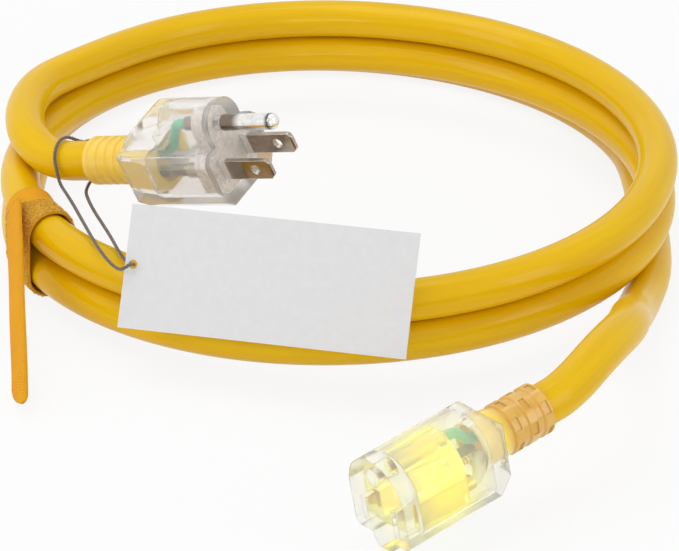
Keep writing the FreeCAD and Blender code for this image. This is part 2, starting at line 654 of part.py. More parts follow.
def connector_housing():
    top = CONNECTOR_DOME_HEIGHT + CONNECTOR_HALF_WIDTH
    body = housing_form(connector_outline(), CONNECTOR_BODY_LENGTH, top, CONNECTOR_RIB_BOTTOM,
                        CONNECTOR_DOME_LENGTH, CONNECTOR_FULL_SECTION_LENGTH,
                        CONNECTOR_CORD_HEIGHT + CONNECTOR_REAR_RADIUS,
                        CONNECTOR_CORD_HEIGHT - CONNECTOR_REAR_RADIUS,
                        CONNECTOR_REAR_HALF_WIDTH, CONNECTOR_HALF_WIDTH)
    chamber = prism(connector_outline(CONNECTOR_SIDE_WALL, rib=False),
                    CONNECTOR_FACE_WALL, CONNECTOR_CHAMBER_END)
    neck = rod(CONNECTOR_NECK_RADIUS + FIT, CONNECTOR_CHAMBER_END - 1, CONNECTOR_BODY_LENGTH + 1,
               0, CONNECTOR_CORD_HEIGHT)
    wall = CONNECTOR_FACE_WALL + 1
    slots = [block(SLOT_WIDTH, LINE_SLOT_HEIGHT, -1, wall, -BLADE_X),
             block(SLOT_WIDTH, NEUTRAL_SLOT_HEIGHT, -1, wall, BLADE_X),
             rod(GROUND_OPENING_RADIUS, -1, wall, 0, GROUND_PIN_HEIGHT)]
    return body.cut([chamber, neck] + slots)


def connector_contact_carrier():
    front, back = CONNECTOR_FACE_WALL + FIT, CONNECTOR_CARRIER_REAR
    plate = prism(connector_outline(CONNECTOR_SIDE_WALL + 2 * FIT, rib=False), front, back)
    pockets = [block(CONTACT_POCKET_WIDTH, CONTACT_POCKET_HEIGHT, 0, back + 1, x)
               for x in (-BLADE_X, BLADE_X)]
    pockets.append(rod(GROUND_POCKET_RADIUS, 0, back + 1, 0, GROUND_PIN_HEIGHT))
    pockets.append(rod(LAMP_RADIUS + FIT, LAMP_TIP - 0.3, back + 1, 0, LAMP_HEIGHT))
    return plate.cut(pockets)


def connector_blade_contact(side):
    """Two sprung leaves on one base, with a crimp barrel behind."""
    outer = CONTACT_POCKET_WIDTH / 2 - FIT
    thin = CONTACT_LEAF_THICKNESS
    mouth = CONNECTOR_FACE_WALL + CONTACT_MOUTH_SETBACK
    pinch = CONNECTOR_FACE_WALL + CONTACT_PINCH_SETBACK
    elbow = CONTACT_REAR - CONTACT_BEND_SETBACK
    grip = BLADE_THICKNESS / 2 + CONTACT_GRIP_GAP
    inside = outer - thin
    right = [(outer, -CONTACT_REAR), (outer, -elbow), (grip + thin, -pinch), (grip + 2 * thin, -mouth),
             (grip + thin, -mouth), (grip, -pinch), (inside, -elbow), (inside, thin - CONTACT_REAR)]
    left = [(-x, z) for x, z in reversed(right)]
    half = CONTACT_LEAF_HEIGHT / 2
    leaves = plan_form(outline(right[0], *right[1:], *left), -half, half)
    contact = leaves.fuse(crimp(CONTACT_REAR - CONTACT_CRIMP_LAP, 0, 0))
    contact.translate(Vector(side * BLADE_X, 0, 0))
    return contact


def connector_ground_contact():
    """Slit sleeve that grips the ground pin, with a crimp barrel behind."""
    outer = GROUND_POCKET_RADIUS - FIT
    inner = outer - GROUND_CONTACT_WALL
    mouth = CONNECTOR_FACE_WALL + CONTACT_MOUTH_SETBACK
    sleeve = rod(outer, mouth, GROUND_CONTACT_REAR).cut(rod(inner, 0, GROUND_CONTACT_REAR - 1))
    stop = GROUND_CONTACT_REAR - GROUND_SLIT_STOP
    slits = [block(GROUND_SLIT_WIDTH, 3 * outer, 0, stop), block(3 * outer, GROUND_SLIT_WIDTH, 0, stop)]
    contact = sleeve.cut(slits).fuse(crimp(GROUND_CONTACT_REAR - CONTACT_CRIMP_LAP, 0, 0))
    contact.translate(Vector(0, GROUND_PIN_HEIGHT, 0))
    return contact


def connector_wires():
    start = -CONNECTOR_JACKET_END + FIT
    blade_end = -(CONTACT_REAR - CONTACT_CRIMP_LAP + CRIMP_LENGTH) - FIT
    pin_end = -(GROUND_CONTACT_REAR - CONTACT_CRIMP_LAP + CRIMP_LENGTH) - FIT
    side, low = WIRE_PAIR_X, CONNECTOR_CORD_HEIGHT - WIRE_PAIR_DROP
    high = CONNECTOR_CORD_HEIGHT + WIRE_TOP_RISE
    line = wire_between((-side, low, start), CONNECTOR_PAIR_TURNS, (-BLADE_X, 0, blade_end))
    neutral = wire_between((side, low, start), CONNECTOR_PAIR_TURNS, (BLADE_X, 0, blade_end))
    ground = wire_between((0, high, start), CONNECTOR_GROUND_TURNS, (0, GROUND_PIN_HEIGHT, pin_end))
    return line, neutral, ground


def indicator_lamp():
    """Small round-nosed lamp that shows when the cord is live."""
    flange = LAMP_RADIUS
    bulb = LAMP_RADIUS - 0.4
    dome = Part.makeSphere(bulb, Vector(0, 0, -LAMP_TIP - bulb))
    lamp = rod(bulb, LAMP_TIP + bulb, LAMP_REAR).fuse([dome, rod(flange, LAMP_REAR - 1, LAMP_REAR)])
    lamp.translate(Vector(0, LAMP_HEIGHT, 0))
    return lamp


def indicator_resistor():
    x, y = RESISTOR_PLACE
    barrel = rod(RESISTOR_RADIUS * RESISTOR_WAIST_SHARE, RESISTOR_FRONT, RESISTOR_REAR, x, y)
    ends = [rod(RESISTOR_RADIUS, RESISTOR_FRONT, RESISTOR_FRONT + RESISTOR_CAP_LENGTH, x, y),
            rod(RESISTOR_RADIUS, RESISTOR_REAR - RESISTOR_CAP_LENGTH, RESISTOR_REAR, x, y)]
    return barrel.fuse(ends)


def indicator_leads():
    """Bare leads: lamp to line contact, lamp to resistor, resistor to neutral contact."""
    half = LAMP_LEAD_SPACING / 2
    behind = -LAMP_REAR - FIT
    x, y = RESISTOR_PLACE
    touch_x = BLADE_X - LEAD_TOUCH_INSET
    touch_y = sqrt((CRIMP_OUTER_RADIUS + LAMP_LEAD_RADIUS + FIT) ** 2 - LEAD_TOUCH_INSET ** 2)
    (aside, passing), (turn, ending) = LINE_LEAD_TURNS
    down, around, back = RESISTOR_LEAD_TURNS
    on, touch = NEUTRAL_LEAD_TURNS
    routes = [
        [(-half, LAMP_HEIGHT, behind), (-half, LAMP_HEIGHT, turn), (aside, LAMP_HEIGHT, passing),
         (-touch_x, touch_y, ending)],
        [(half, LAMP_HEIGHT, behind), (half, LAMP_HEIGHT, down),
         ((half + x) / 2, (LAMP_HEIGHT + y) / 2, around), (x, y, back), (x, y, -RESISTOR_REAR - FIT)],
        [(x, y, -RESISTOR_FRONT + FIT), (x, y, on), (touch_x, touch_y, touch)]]
    leads = []
    for route in routes:
        points = [vec(point) for point in route]
        path, _ = rounded_path(points)
        leads.append(tube(path, LAMP_LEAD_RADIUS, points[0], points[1] - points[0]))
    return Part.makeCompound(leads)


def connector_strain_relief():
    """Boot with raised bands, each pierced by a ring of staggered windows."""
    y = CONNECTOR_CORD_HEIGHT
    neck = rod(CONNECTOR_NECK_RADIUS, CONNECTOR_CHAMBER_END + 1, CONNECTOR_BODY_LENGTH + 1, 0, y)
    start = CONNECTOR_BODY_LENGTH + FIT
    slope_end = start + BAND_SLOPE_LENGTH
    profile = [(0, -start), (CONNECTOR_REAR_RADIUS - 0.2, -start), (BAND_GROOVE_RADIUS, -slope_end)]
    step = (CONNECTOR_BOOT_END - slope_end - BAND_LENGTH) / (BAND_COUNT - 1)
    bands = [slope_end + index * step for index in range(BAND_COUNT)]
    for front in bands:
        back = front + BAND_LENGTH
        profile += [(BAND_GROOVE_RADIUS, -front), (BAND_RADIUS, -front - BAND_EDGE),
                    (BAND_RADIUS, BAND_EDGE - back), (BAND_GROOVE_RADIUS, -back)]
    profile.append((0, -CONNECTOR_BOOT_END))
    boot = turned([profile[0]] + [p for q, p in zip(profile, profile[1:]) if p != q])
    windows = []
    for index, front in enumerate(bands):
        for place in range(BAND_WINDOWS):
            window = block(BAND_WINDOW_WIDTH, CORD_RADIUS, front + BAND_WINDOW_INSET,
                           front + BAND_LENGTH - BAND_WINDOW_INSET, 0, BAND_GROOVE_RADIUS + CORD_RADIUS / 2)
            window.rotate(Vector(0, 0, 0), Vector(0, 0, 1), (place + index / 2) * 360 / BAND_WINDOWS)
            windows.append(window)
    boot = boot.cut(windows)
    boot.translate(Vector(0, y, 0))
    bore = rod(BOOT_BORE_RADIUS, CONNECTOR_CHAMBER_END, CONNECTOR_BOOT_END + 1, 0, y)
    return neck.fuse(boot).cut(bore)


# Strap

def strap_section(clearance):
    """Face between two stadium outlines round the pair of turns, in the plane y = 0."""
    upper, lower = (coil_place(turns)[0].z for turns in strap_turns())
    faces = []
    for radius in (clearance, clearance + STRAP_THICKNESS):
        r = CORD_RADIUS + radius
        edges = [Part.Arc(Vector(-r, 0, upper), Vector(0, 0, upper + r), Vector(r, 0, upper)),
                 Part.LineSegment(Vector(r, 0, upper), Vector(r, 0, lower)),
                 Part.Arc(Vector(r, 0, lower), Vector(0, 0, lower - r), Vector(-r, 0, lower)),
                 Part.LineSegment(Vector(-r, 0, lower), Vector(-r, 0, upper))]
        faces.append(Part.Face(Part.Wire([edge.toShape() for edge in edges])))
    return faces[1].cut(faces[0])


def strap_turns():
    """Turns at which the upper and the lower cord pass the middle of the strap."""
    middle = STRAP_FIRST_ANGLE + degrees(STRAP_WIDTH / COIL_RADIUS)
    lower = 0.5 + (360 - middle) / 360 + 1
    return lower - 1, lower


def strap_wrap():
    """The strap goes round twice, side by side; the second turn lies a little higher."""
    sweep = degrees(STRAP_WIDTH / COIL_RADIUS)
    radius = coil_place(strap_turns()[0])[0]
    centre = sqrt(radius.x ** 2 + radius.y ** 2)
    bands = []
    for index in range(2):
        section = strap_section(STRAP_LOOSENESS + index * STRAP_TURN_STEP)
        first = STRAP_FIRST_ANGLE + index * (sweep - STRAP_TURN_OVERLAP)
        section.translate(Vector(centre, 0, 0))
        section.rotate(Vector(0, 0, 0), Vector(0, 0, 1), first)
        bands.append(section.revolve(Vector(0, 0, 0), Vector(0, 0, 1), sweep))
    return bands[0].fuse(bands[1])


def tail_axes():
    """Root, length, run, width and face directions of the strap's free end."""
    angle, radius = radians(STRAP_TAIL_ROOT_ANGLE), COIL_RADIUS + STRAP_TAIL_ROOT_OUT
    root = Vector(radius * cos(angle), radius * sin(angle), STRAP_TAIL_ROOT_HEIGHT)
    run = unit(vec(STRAP_TAIL_RUN))
    x = STRAP_TAIL_WIDTH_X
    length = sqrt(1 - x ** 2)
    base = atan2(run.z, run.y)
    swing = acos(-run.x * x / (length * sqrt(run.y ** 2 + run.z ** 2)))
    width = Vector(x, length * cos(base - swing), length * sin(base - swing))
    if width.z < 0:
        width = Vector(x, length * cos(base + swing), length * sin(base + swing))
    return root, vec(STRAP_TAIL_RUN).Length, run, width, run.cross(width)


def strap_tail():
    """Straight free end of the strap, round at its tip."""
    root, length, run, width, face = tail_axes()
    half = STRAP_WIDTH / 2
    shape = outline((0, -half), (length, -half), ((length + half, 0), (length, half)), (0, half))
    tail = shape.extrude(Vector(0, 0, STRAP_THICKNESS))
    tail.translate(Vector(0, 0, -STRAP_THICKNESS / 2))
    tail.Placement = Placement(Matrix(
        run.x, width.x, face.x, root.x,
        run.y, width.y, face.y, root.y,
        run.z, width.z, face.z, root.z,
        0, 0, 0, 1)).multiply(tail.Placement)
    return tail


# Tag and string

def tag_placement():
    """Local axes of the card: along its width, up its height, out of its front face."""
    azimuth, lean = radians(TAG_AZIMUTH), radians(TAG_LEAN)
    out = Vector(cos(azimuth) * cos(lean), sin(azimuth) * cos(lean), sin(lean))
    level = Vector(-sin(azimuth), cos(azimuth), 0)
    rise = out.cross(level)
    cord = coil_place(0.75 + (270 - TAG_AZIMUTH) / 360)[0]
    middle = (cord + out * (CORD_RADIUS + SOFT_CLEARANCE + TAG_THICKNESS / 2)
              + level * TAG_OFFSET_ALONG + rise * TAG_OFFSET_UP)
    turn = radians(TAG_TURN)
    along = level * cos(turn) + rise * sin(turn)
    up = out.cross(along)
    return Placement(Matrix(
        along.x, up.x, out.x, middle.x,
        along.y, up.y, out.y, middle.y,
        along.z, up.z, out.z, middle.z,
        0, 0, 0, 1))


def tag_hole_place():
    return tag_placement().multVec(Vector(TAG_HOLE_FROM_EDGE - TAG_WIDTH / 2, TAG_HOLE_UP, 0))


def hang_tag():
    card = Part.makeBox(TAG_WIDTH, TAG_HEIGHT, TAG_THICKNESS,
                        Vector(-TAG_WIDTH / 2, -TAG_HEIGHT / 2, -TAG_THICKNESS / 2))
    hole = Part.makeCylinder(TAG_HOLE_DIAMETER / 2, 4 * TAG_THICKNESS,
                             Vector(TAG_HOLE_FROM_EDGE - TAG_WIDTH / 2, TAG_HOLE_UP, -2 * TAG_THICKNESS))
    card = card.cut(hole)
    card.Placement = tag_placement()
    return card


def lead_place(plug, across, up, station):
    """A place beside the plug lead, measured from its middle at a station behind the boot."""
    return plug.multVec(Vector(across, PLUG_CORD_HEIGHT + up, -PLUG_BOOT_END - station))


def string_corners(plug):
    """From the knot over the lead, down to the card's hole, through it, and back behind."""
    reach = (CORD_RADIUS + STRING_RADIUS + 2 * SOFT_CLEARANCE) / cos(radians(STRING_LOOP_SPACING / 2))
    end = KNOT_LENGTH / 2 + FIT
    corners = [lead_place(plug, KNOT_DISTANCE, end, STRING_STATION),
               lead_place(plug, KNOT_DISTANCE, 2 * end, STRING_STATION)]
    for index in range(STRING_LOOP_CORNERS):
        angle = radians(STRING_LOOP_FIRST_ANGLE + index * STRING_LOOP_SPACING)
        station = STRING_STATION + STRING_LOOP_SLANT * (index + 1) / STRING_LOOP_CORNERS
        corners.append(lead_place(plug, reach * cos(angle), reach * sin(angle), station))
    hole, out = tag_hole_place(), direction(tag_placement(), (0, 0, 1))
    corners += [vec(point) for point in STRING_FRONT_POINTS]
    corners += [hole + out * 2.4 + Vector(-2.3, -1.7, -1.1), hole + out * 2.6, hole - out * 2.0]
    corners += [vec(point) for point in STRING_BACK_POINTS]
    corners += [lead_place(plug, KNOT_DISTANCE / 2, -KNOT_DISTANCE, STRING_STATION),
                lead_place(plug, KNOT_DISTANCE, -2.8 * end, STRING_STATION),
                lead_place(plug, KNOT_DISTANCE, -end, STRING_STATION)]
    return corners


def string_knot(plug):
    """Small drum-shaped knot where the two ends of the string meet behind the lead."""
    half, belly, waist = KNOT_LENGTH / 2, KNOT_RADIUS, STRING_RADIUS + KNOT_LIP
    full = KNOT_BELLY_SHARE * half
    knot = turned([(0, -half), (waist, -half), (belly, -full), (belly, full), (waist, half), (0, half)])
    knot.Placement = Placement(lead_place(plug, KNOT_DISTANCE, 0, STRING_STATION),
                               Rotation(Vector(0, 0, 1), direction(plug, (0, 1, 0))))
    return knot


# Assembly

def placed(shape, placement):
    shape.Placement = placement.multiply(shape.Placement)
    return shape


def standing_pose():
    """Connector placement that rests its lowest edge on the table."""
    trial = pose(Vector(*CONNECTOR_FACE_PLACE, 0), CONNECTOR_AZIMUTH, CONNECTOR_TILT, CONNECTOR_ROLL)
    low = placed(connector_housing(), trial).BoundBox.ZMin
    face = Vector(*CONNECTOR_FACE_PLACE, -low)
    return pose(face, CONNECTOR_AZIMUTH, CONNECTOR_TILT, CONNECTOR_ROLL)


def build():
    nodes = {}
    plug = pose(vec(PLUG_FACE_PLACE), PLUG_AZIMUTH, PLUG_TILT, PLUG_ROLL)
    connector = standing_pose()
    print("connector face height", round(connector.Base.z, 3))

    line, neutral, ground = plug_wires()
    plug_pieces = {
        "plug_housing": plug_housing(),
        "plug_strain_relief": plug_strain_relief(),
        "plug_blade_carrier": plug_blade_carrier(),
        "plug_blade_line": plug_blade(-1),
        "plug_blade_neutral": plug_blade(1),
        "plug_ground_pin": plug_ground_pin(),
        "plug_wire_line": line,
        "plug_wire_neutral": neutral,
        "plug_wire_ground": ground}
    line, neutral, ground = connector_wires()
    connector_pieces = {
        "connector_housing": connector_housing(),
        "connector_strain_relief": connector_strain_relief(),
        "connector_contact_carrier": connector_contact_carrier(),
        "connector_contact_line": connector_blade_contact(-1),
        "connector_contact_neutral": connector_blade_contact(1),
        "connector_contact_ground": connector_ground_contact(),
        "connector_wire_line": line,
        "connector_wire_neutral": neutral,
        "connector_wire_ground": ground,
        "indicator_lamp": indicator_lamp(),
        "indicator_resistor": indicator_resistor(),
        "indicator_leads": indicator_leads()}
    for pieces, placement in ((plug_pieces, plug), (connector_pieces, connector)):
        for name, shape in pieces.items():
            nodes[name] = placed(shape, placement)

    coil, coil_length, coil_start, coil_heading, coil_finish = coil_turns()
    nodes["cord_coil"] = coil

    # The plug lead leaves the boot, bends round and joins the top turn.
    boot_end = plug.multVec(Vector(0, PLUG_CORD_HEIGHT, -PLUG_BOOT_END))
    jacket_end = plug.multVec(Vector(0, PLUG_CORD_HEIGHT, -PLUG_JACKET_END))
    backward = direction(plug, (0, 0, -1))
    plug_route = [jacket_end, boot_end + backward * PLUG_FIRST_BEND]
    plug_route += [vec(point) for point in PLUG_LEAD_POINTS]
    plug_route += [coil_start - coil_heading * COIL_LEAD_IN, coil_start]
    nodes["cord_plug_lead"], plug_length = free_tube("plug lead", plug_route, CORD_DIAMETER)

    # The connector lead leaves the turn on the table, passes under the front and rises to its boot.
    backward = direction(connector, (0, 0, -1))
    boot_end = connector.multVec(Vector(0, CONNECTOR_CORD_HEIGHT, -CONNECTOR_BOOT_END))
    jacket_end = connector.multVec(Vector(0, CONNECTOR_CORD_HEIGHT, -CONNECTOR_JACKET_END))
    connector_route = [coil_finish, Vector(HIDDEN_TURN_RIGHT_X, TABLE_RUN_Y, CORD_RADIUS)]
    connector_route += [vec(point) for point in CONNECTOR_LEAD_POINTS]
    connector_route += [boot_end + backward * CONNECTOR_FIRST_BEND, jacket_end]
    nodes["cord_connector_lead"], connector_length = free_tube(
        "connector lead", connector_route, CORD_DIAMETER)
    print(f"cord length {coil_length + plug_length + connector_length:.1f}")

    nodes["strap_wrap"] = strap_wrap()
    nodes["strap_tail"] = strap_tail()
    nodes["hang_tag"] = hang_tag()
    nodes["tag_string"], _ = free_tube("tag string", string_corners(plug), STRING_DIAMETER)
    nodes["string_knot"] = string_knot(plug)
    root, _, _, width, _ = tail_axes()
    print("tag hinge", tag_hole_place(), direction(tag_placement(), (0, 1, 0)))
    print("tail hinge", root, width)
    for name, placement in (("plug", plug), ("connector", connector)):
        print(name, "face", placement.Base, "forward", direction(placement, (0, 0, 1)),
              "up", direction(placement, (0, 1, 0)))
    return nodes


def main():
    os.makedirs("parts", exist_ok=True)
    for name, shape in build().items():
        box = shape.BoundBox
        print(f"{name}: solids {len(shape.Solids)}, valid {shape.isValid()}, volume {shape.Volume:.1f}, "
              f"z {box.ZMin:.2f} to {box.ZMax:.2f}")
        shape.exportStep(f"parts/{name}.step")


main()
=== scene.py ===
import json

import bpy
import numpy as np
from mathutils import Matrix


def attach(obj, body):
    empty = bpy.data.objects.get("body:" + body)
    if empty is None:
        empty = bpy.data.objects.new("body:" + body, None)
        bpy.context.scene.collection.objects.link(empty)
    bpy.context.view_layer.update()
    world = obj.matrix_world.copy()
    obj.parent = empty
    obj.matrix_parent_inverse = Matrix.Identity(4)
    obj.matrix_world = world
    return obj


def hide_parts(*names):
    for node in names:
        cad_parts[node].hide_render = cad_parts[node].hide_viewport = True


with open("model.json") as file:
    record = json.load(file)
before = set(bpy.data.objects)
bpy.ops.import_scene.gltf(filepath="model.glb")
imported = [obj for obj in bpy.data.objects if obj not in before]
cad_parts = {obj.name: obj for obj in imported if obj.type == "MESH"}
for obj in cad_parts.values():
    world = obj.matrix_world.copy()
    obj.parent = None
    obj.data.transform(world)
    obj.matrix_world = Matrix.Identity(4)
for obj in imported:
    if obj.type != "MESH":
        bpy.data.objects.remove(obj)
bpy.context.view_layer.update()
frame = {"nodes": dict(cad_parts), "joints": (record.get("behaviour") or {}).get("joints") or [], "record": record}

# The table and the lamps
# The cord lies on a white sweep under broad soft lamps, and is seen from the front and a little above
# with a long lens that is turned slightly about its own line of sight.

VIEW_AIM, VIEW_DISTANCE = np.array([0.0014, -0.0312, 0.0008]), 1.0066
VIEW_ELEVATION, VIEW_ROLL = np.radians(26.92), np.radians(1.93)
LENS_MM, SENSOR_MM = 176.3, 36.0
NEAREST_SEEN, FARTHEST_SEEN = 0.01, 50
TABLE_HALF, TABLE_WHITE, SHADOW_FADE = 4.0, (0.86, 0.86, 0.86), 0.86
PURE_WHITE, ROOM_LIGHT = (1.0, 1.0, 1.0), 0.60
LAMP_PLACES = {"top_lamp": (-0.25, 0.15, 1.0), "left_lamp": (-1.1, -0.6, 0.6),
               "right_lamp": (1.0, -0.5, 0.5), "front_lamp": (0.1, -1.3, 0.35)}
LAMP_SIZES = {"top_lamp": (0.9, 0.7), "left_lamp": (0.6, 0.9), "right_lamp": (0.4, 0.8),
              "front_lamp": (0.8, 0.4)}
LAMP_WATTS = {"top_lamp": 3.4, "left_lamp": 3.6, "right_lamp": 2.0, "front_lamp": 2.4}


class Network:
    """The nodes of one material, world or node group, with short calls that place and join them."""

    def __init__(self, tree):
        self.nodes, self.links = tree.nodes, tree.links

    def join(self, socket, value):
        """Links an output to the socket, or sets the socket's own value."""
        if isinstance(value, bpy.types.NodeSocket):
            self.links.new(value, socket)
        elif isinstance(value, tuple) and len(value) == 3 and socket.type == "RGBA":
            socket.default_value = (*value, 1)
        else:
            socket.default_value = value

    def put(self, kind, inputs, output=0, **settings):
        """A node with its settings and inputs; gives back one of its outputs."""
        node = self.nodes.new("ShaderNode" + kind)
        for key, value in settings.items():
            setattr(node, key, value)
        for key, value in inputs.items():
            self.join(node.inputs[key], value)
        return node.outputs[output]

    def calc(self, operation, first, second=0.0, clamp=False):
        """One step of arithmetic on one or two values."""
        return self.put("Math", {0: first, 1: second}, operation=operation, use_clamp=clamp)

    def blend(self, share, first, second):
        """The first colour where the share is 0, and the second where it is 1. The numbers are those
        of the colour sockets of a Mix node."""
        return self.put("Mix", {0: share, 6: first, 7: second}, 2, data_type="RGBA")

    def ranged(self, value, low, high, new_low, new_high):
        """Carries the stretch from low to high over to the one from new_low to new_high."""
        return self.put("MapRange", {"Value": value, "From Min": low, "From Max": high,
                                     "To Min": new_low, "To Max": new_high})


def unit(vectors):
    """Each vector divided by its own length."""
    return vectors / np.linalg.norm(vectors, axis=-1, keepdims=True)


def set_up(name, data, across, up, back, place):
    """Puts a camera or a lamp in the scene, looking away from its back."""
    thing = bpy.data.objects.new(name, data)
    bpy.context.scene.collection.objects.link(thing)
    matrix = np.eye(4)
    matrix[:3] = np.stack([across, up, back, place], 1)
    thing.matrix_world = Matrix(matrix)
    return thing


def photographers_view():
    """The camera looks along +Y, is tipped down by its elevation and rolled about its line of sight."""
    level = np.array([1.0, 0, 0])
    rise = np.array([0, np.sin(VIEW_ELEVATION), np.cos(VIEW_ELEVATION)])
    back = np.array([0, -np.cos(VIEW_ELEVATION), np.sin(VIEW_ELEVATION)])
    c, s = np.cos(VIEW_ROLL), np.sin(VIEW_ROLL)
    lens = bpy.data.cameras.new("camera")
    lens.lens, lens.sensor_width = LENS_MM, SENSOR_MM
    lens.clip_start, lens.clip_end = NEAREST_SEEN, FARTHEST_SEEN
    bpy.context.scene.camera = set_up("camera", lens, c * level + s * rise, c * rise - s * level, back,
                                      VIEW_AIM + back * VIEW_DISTANCE)


def seen_directly(net):
    """1 for what is seen straight, mirrored or through clear plastic, and 0 for light on the object."""
    path = net.nodes.new("ShaderNodeLightPath")
    total = path.outputs["Is Camera Ray"]
    for other in ("Is Glossy Ray", "Is Transmission Ray"):
        total = net.calc("ADD", total, path.outputs[other], clamp=True)
    return total


def white_table():
    """A matt white floor, mixed with plain white where it is seen, so that its shadows stay faint."""
    material = bpy.data.materials.new("white_sweep")
    material.use_nodes = True
    net = Network(material.node_tree)
    net.nodes.clear()
    paper = net.put("BsdfDiffuse", {"Color": TABLE_WHITE})
    glow = net.put("Emission", {"Color": PURE_WHITE})
    fade = net.calc("MULTIPLY", seen_directly(net), SHADOW_FADE)
    out = net.nodes.new("ShaderNodeOutputMaterial")
    net.join(out.inputs["Surface"], net.put("MixShader", {0: fade, 1: paper, 2: glow}))
    h = TABLE_HALF
    mesh = bpy.data.meshes.new("table")
    mesh.from_pydata([(-h, -h, 0), (h, -h, 0), (h, h, 0), (-h, h, 0)], [], [(0, 1, 2, 3)])
    mesh.materials.append(material)
    table = bpy.data.objects.new("table", mesh)
    bpy.context.scene.collection.objects.link(table)


def white_room():
    """White all round: pure where it is seen, and dimmer as light on the object."""
    world = bpy.data.worlds.new("white_room")
    bpy.context.scene.world = world
    world.use_nodes = True
    net = Network(world.node_tree)
    background = net.nodes["Background"]
    net.join(background.inputs["Color"], PURE_WHITE)
    net.join(background.inputs["Strength"], net.ranged(seen_directly(net), 0, 1, ROOM_LIGHT, 1))


def soft_lamp(name):
    """A rectangular lamp that faces the middle of the coil."""
    lamp = bpy.data.lights.new(name, "AREA")
    lamp.shape, lamp.energy = "RECTANGLE", LAMP_WATTS[name]
    lamp.size, lamp.size_y = LAMP_SIZES[name]
    back = unit(np.array(LAMP_PLACES[name]))
    across = unit(np.cross([0, 0, 1.0], back))
    set_up(name, lamp, across, np.cross(back, across), back, LAMP_PLACES[name])


bpy.context.scene.view_settings.view_transform = "Standard"
photographers_view()
white_table()
white_room()
for name in LAMP_PLACES:
    soft_lamp(name)


# The yellow cord
# One round three-wire cord in an extruded, glossy vinyl jacket. Two turns lie on each other, a third
# lies behind them on the table, and each end runs into a moulded boot.

tau = 2 * np.pi
CORD_DIAMETER, CORD_LENGTH = 0.012, 1.848
CORD_SIDES, CORD_SMOOTHNESS = 40, 12
COIL_RADIUS, COIL_GROWTH, COIL_FRONT_TURN = 0.09765, 0.00024, 0.75
COIL_FIRST_TURN, COIL_LAST_TURN, COIL_STEPS = 0.11, 2.0, 45
TURN_PITCH, LOW_END_HEIGHT, SIDE_SLOPE = 0.01245, 0.00677, 0.0295
BACK_TURN_CENTRE, BACK_TURN_RADIUS, BACK_TURN_STEPS = (-0.00055, 0.030), 0.09735, 12
BACK_TURN_LEFT_HEIGHT, TABLE_HEIGHT = 0.00615, 0.006
PLUG_CORD_HEIGHT, PLUG_BOOT_END, PLUG_JACKET_END, PLUG_FIRST_BEND = -0.0008, 0.056, 0.029, 0.017
CONNECTOR_CORD_HEIGHT, CONNECTOR_BOOT_END, CONNECTOR_JACKET_END = 0.0048, 0.0555, 0.034
CONNECTOR_FIRST_BEND = 0.0103
PLUG_LEAD = [(-0.0947, -0.0064, 0.0312), (-0.0977, 0.0074, 0.0318), (-0.0978, 0.0204, 0.0317),
             (-0.0957, 0.0324, 0.0314)]
CONNECTOR_LEAD = [(0.0968, -0.0140, 0.0060), (0.0954, -0.0343, 0.0061), (0.0907, -0.0538, 0.0069),
                  (0.0867, -0.0732, 0.0121), (0.0843, -0.0908, 0.0211), (0.0819, -0.1096, 0.0279),
                  (0.0743, -0.1281, 0.0307)]
COIL_LEAD_IN = 0.0241
JACKET_DEEP, JACKET_BRIGHT = (0.76, 0.445, 0.0012), (0.83, 0.515, 0.002)
STREAK_STRETCH = (9.0, 14.0, 1.0)
CLOUD_DETAIL, CLOUD_ROUGHNESS, CLOUD_LOW, CLOUD_HIGH = 4.0, 0.6, 0.32, 0.68
BUMP_STRENGTH = 0.5


class Seat:
    """Where a moulded end lies: places given as across, up and forward of its face, in metres."""

    def __init__(self, face, ground):
        mounts = {mount["name"]: mount for mount in frame["record"]["mounts"]}
        self.origin = np.array(mounts[face]["pos_m"])
        self.forward = unit(np.array(mounts[face]["axis"]))
        up = np.array(mounts[ground]["pos_m"]) - self.origin
        self.up = unit(up - self.forward * (up @ self.forward))
        self.across = np.cross(self.up, self.forward)

    def place(self, points):
        """The same places in the frame."""
        points = np.asarray(points, float)
        return (self.origin + points[..., 0:1] * self.across + points[..., 1:2] * self.up
                + points[..., 2:3] * self.forward)


def coil_turn_points():
    """Control points round the two turns: a circle that grows and sinks steadily and leans to one side."""
    step = (COIL_LAST_TURN - COIL_FIRST_TURN) / COIL_STEPS
    turns = COIL_FIRST_TURN + step * (np.arange(COIL_STEPS) + 0.5)
    angle = np.pi - tau * turns
    radius = (COIL_RADIUS + COIL_GROWTH * (turns - COIL_FRONT_TURN)) / np.cos(np.pi * step)
    x, y = radius * np.cos(angle), radius * np.sin(angle)
    z = LOW_END_HEIGHT + TURN_PITCH * (COIL_LAST_TURN - turns) + SIDE_SLOPE * (x + COIL_RADIUS)
    return np.stack([x, y, z], 1)


def back_turn_points():
    """Control points of the half circle behind, which sinks onto the table by a square law."""
    share = (np.arange(BACK_TURN_STEPS) + 0.5) / BACK_TURN_STEPS
    angle = np.pi * (1 - share)
    radius = BACK_TURN_RADIUS / np.cos(np.pi / BACK_TURN_STEPS / 2)
    z = TABLE_HEIGHT + (BACK_TURN_LEFT_HEIGHT - TABLE_HEIGHT) * np.clip(1 - 2 * share, 0, 1) ** 2
    return np.stack([BACK_TURN_CENTRE[0] + radius * np.cos(angle),
                     BACK_TURN_CENTRE[1] + radius * np.sin(angle), z], 1)


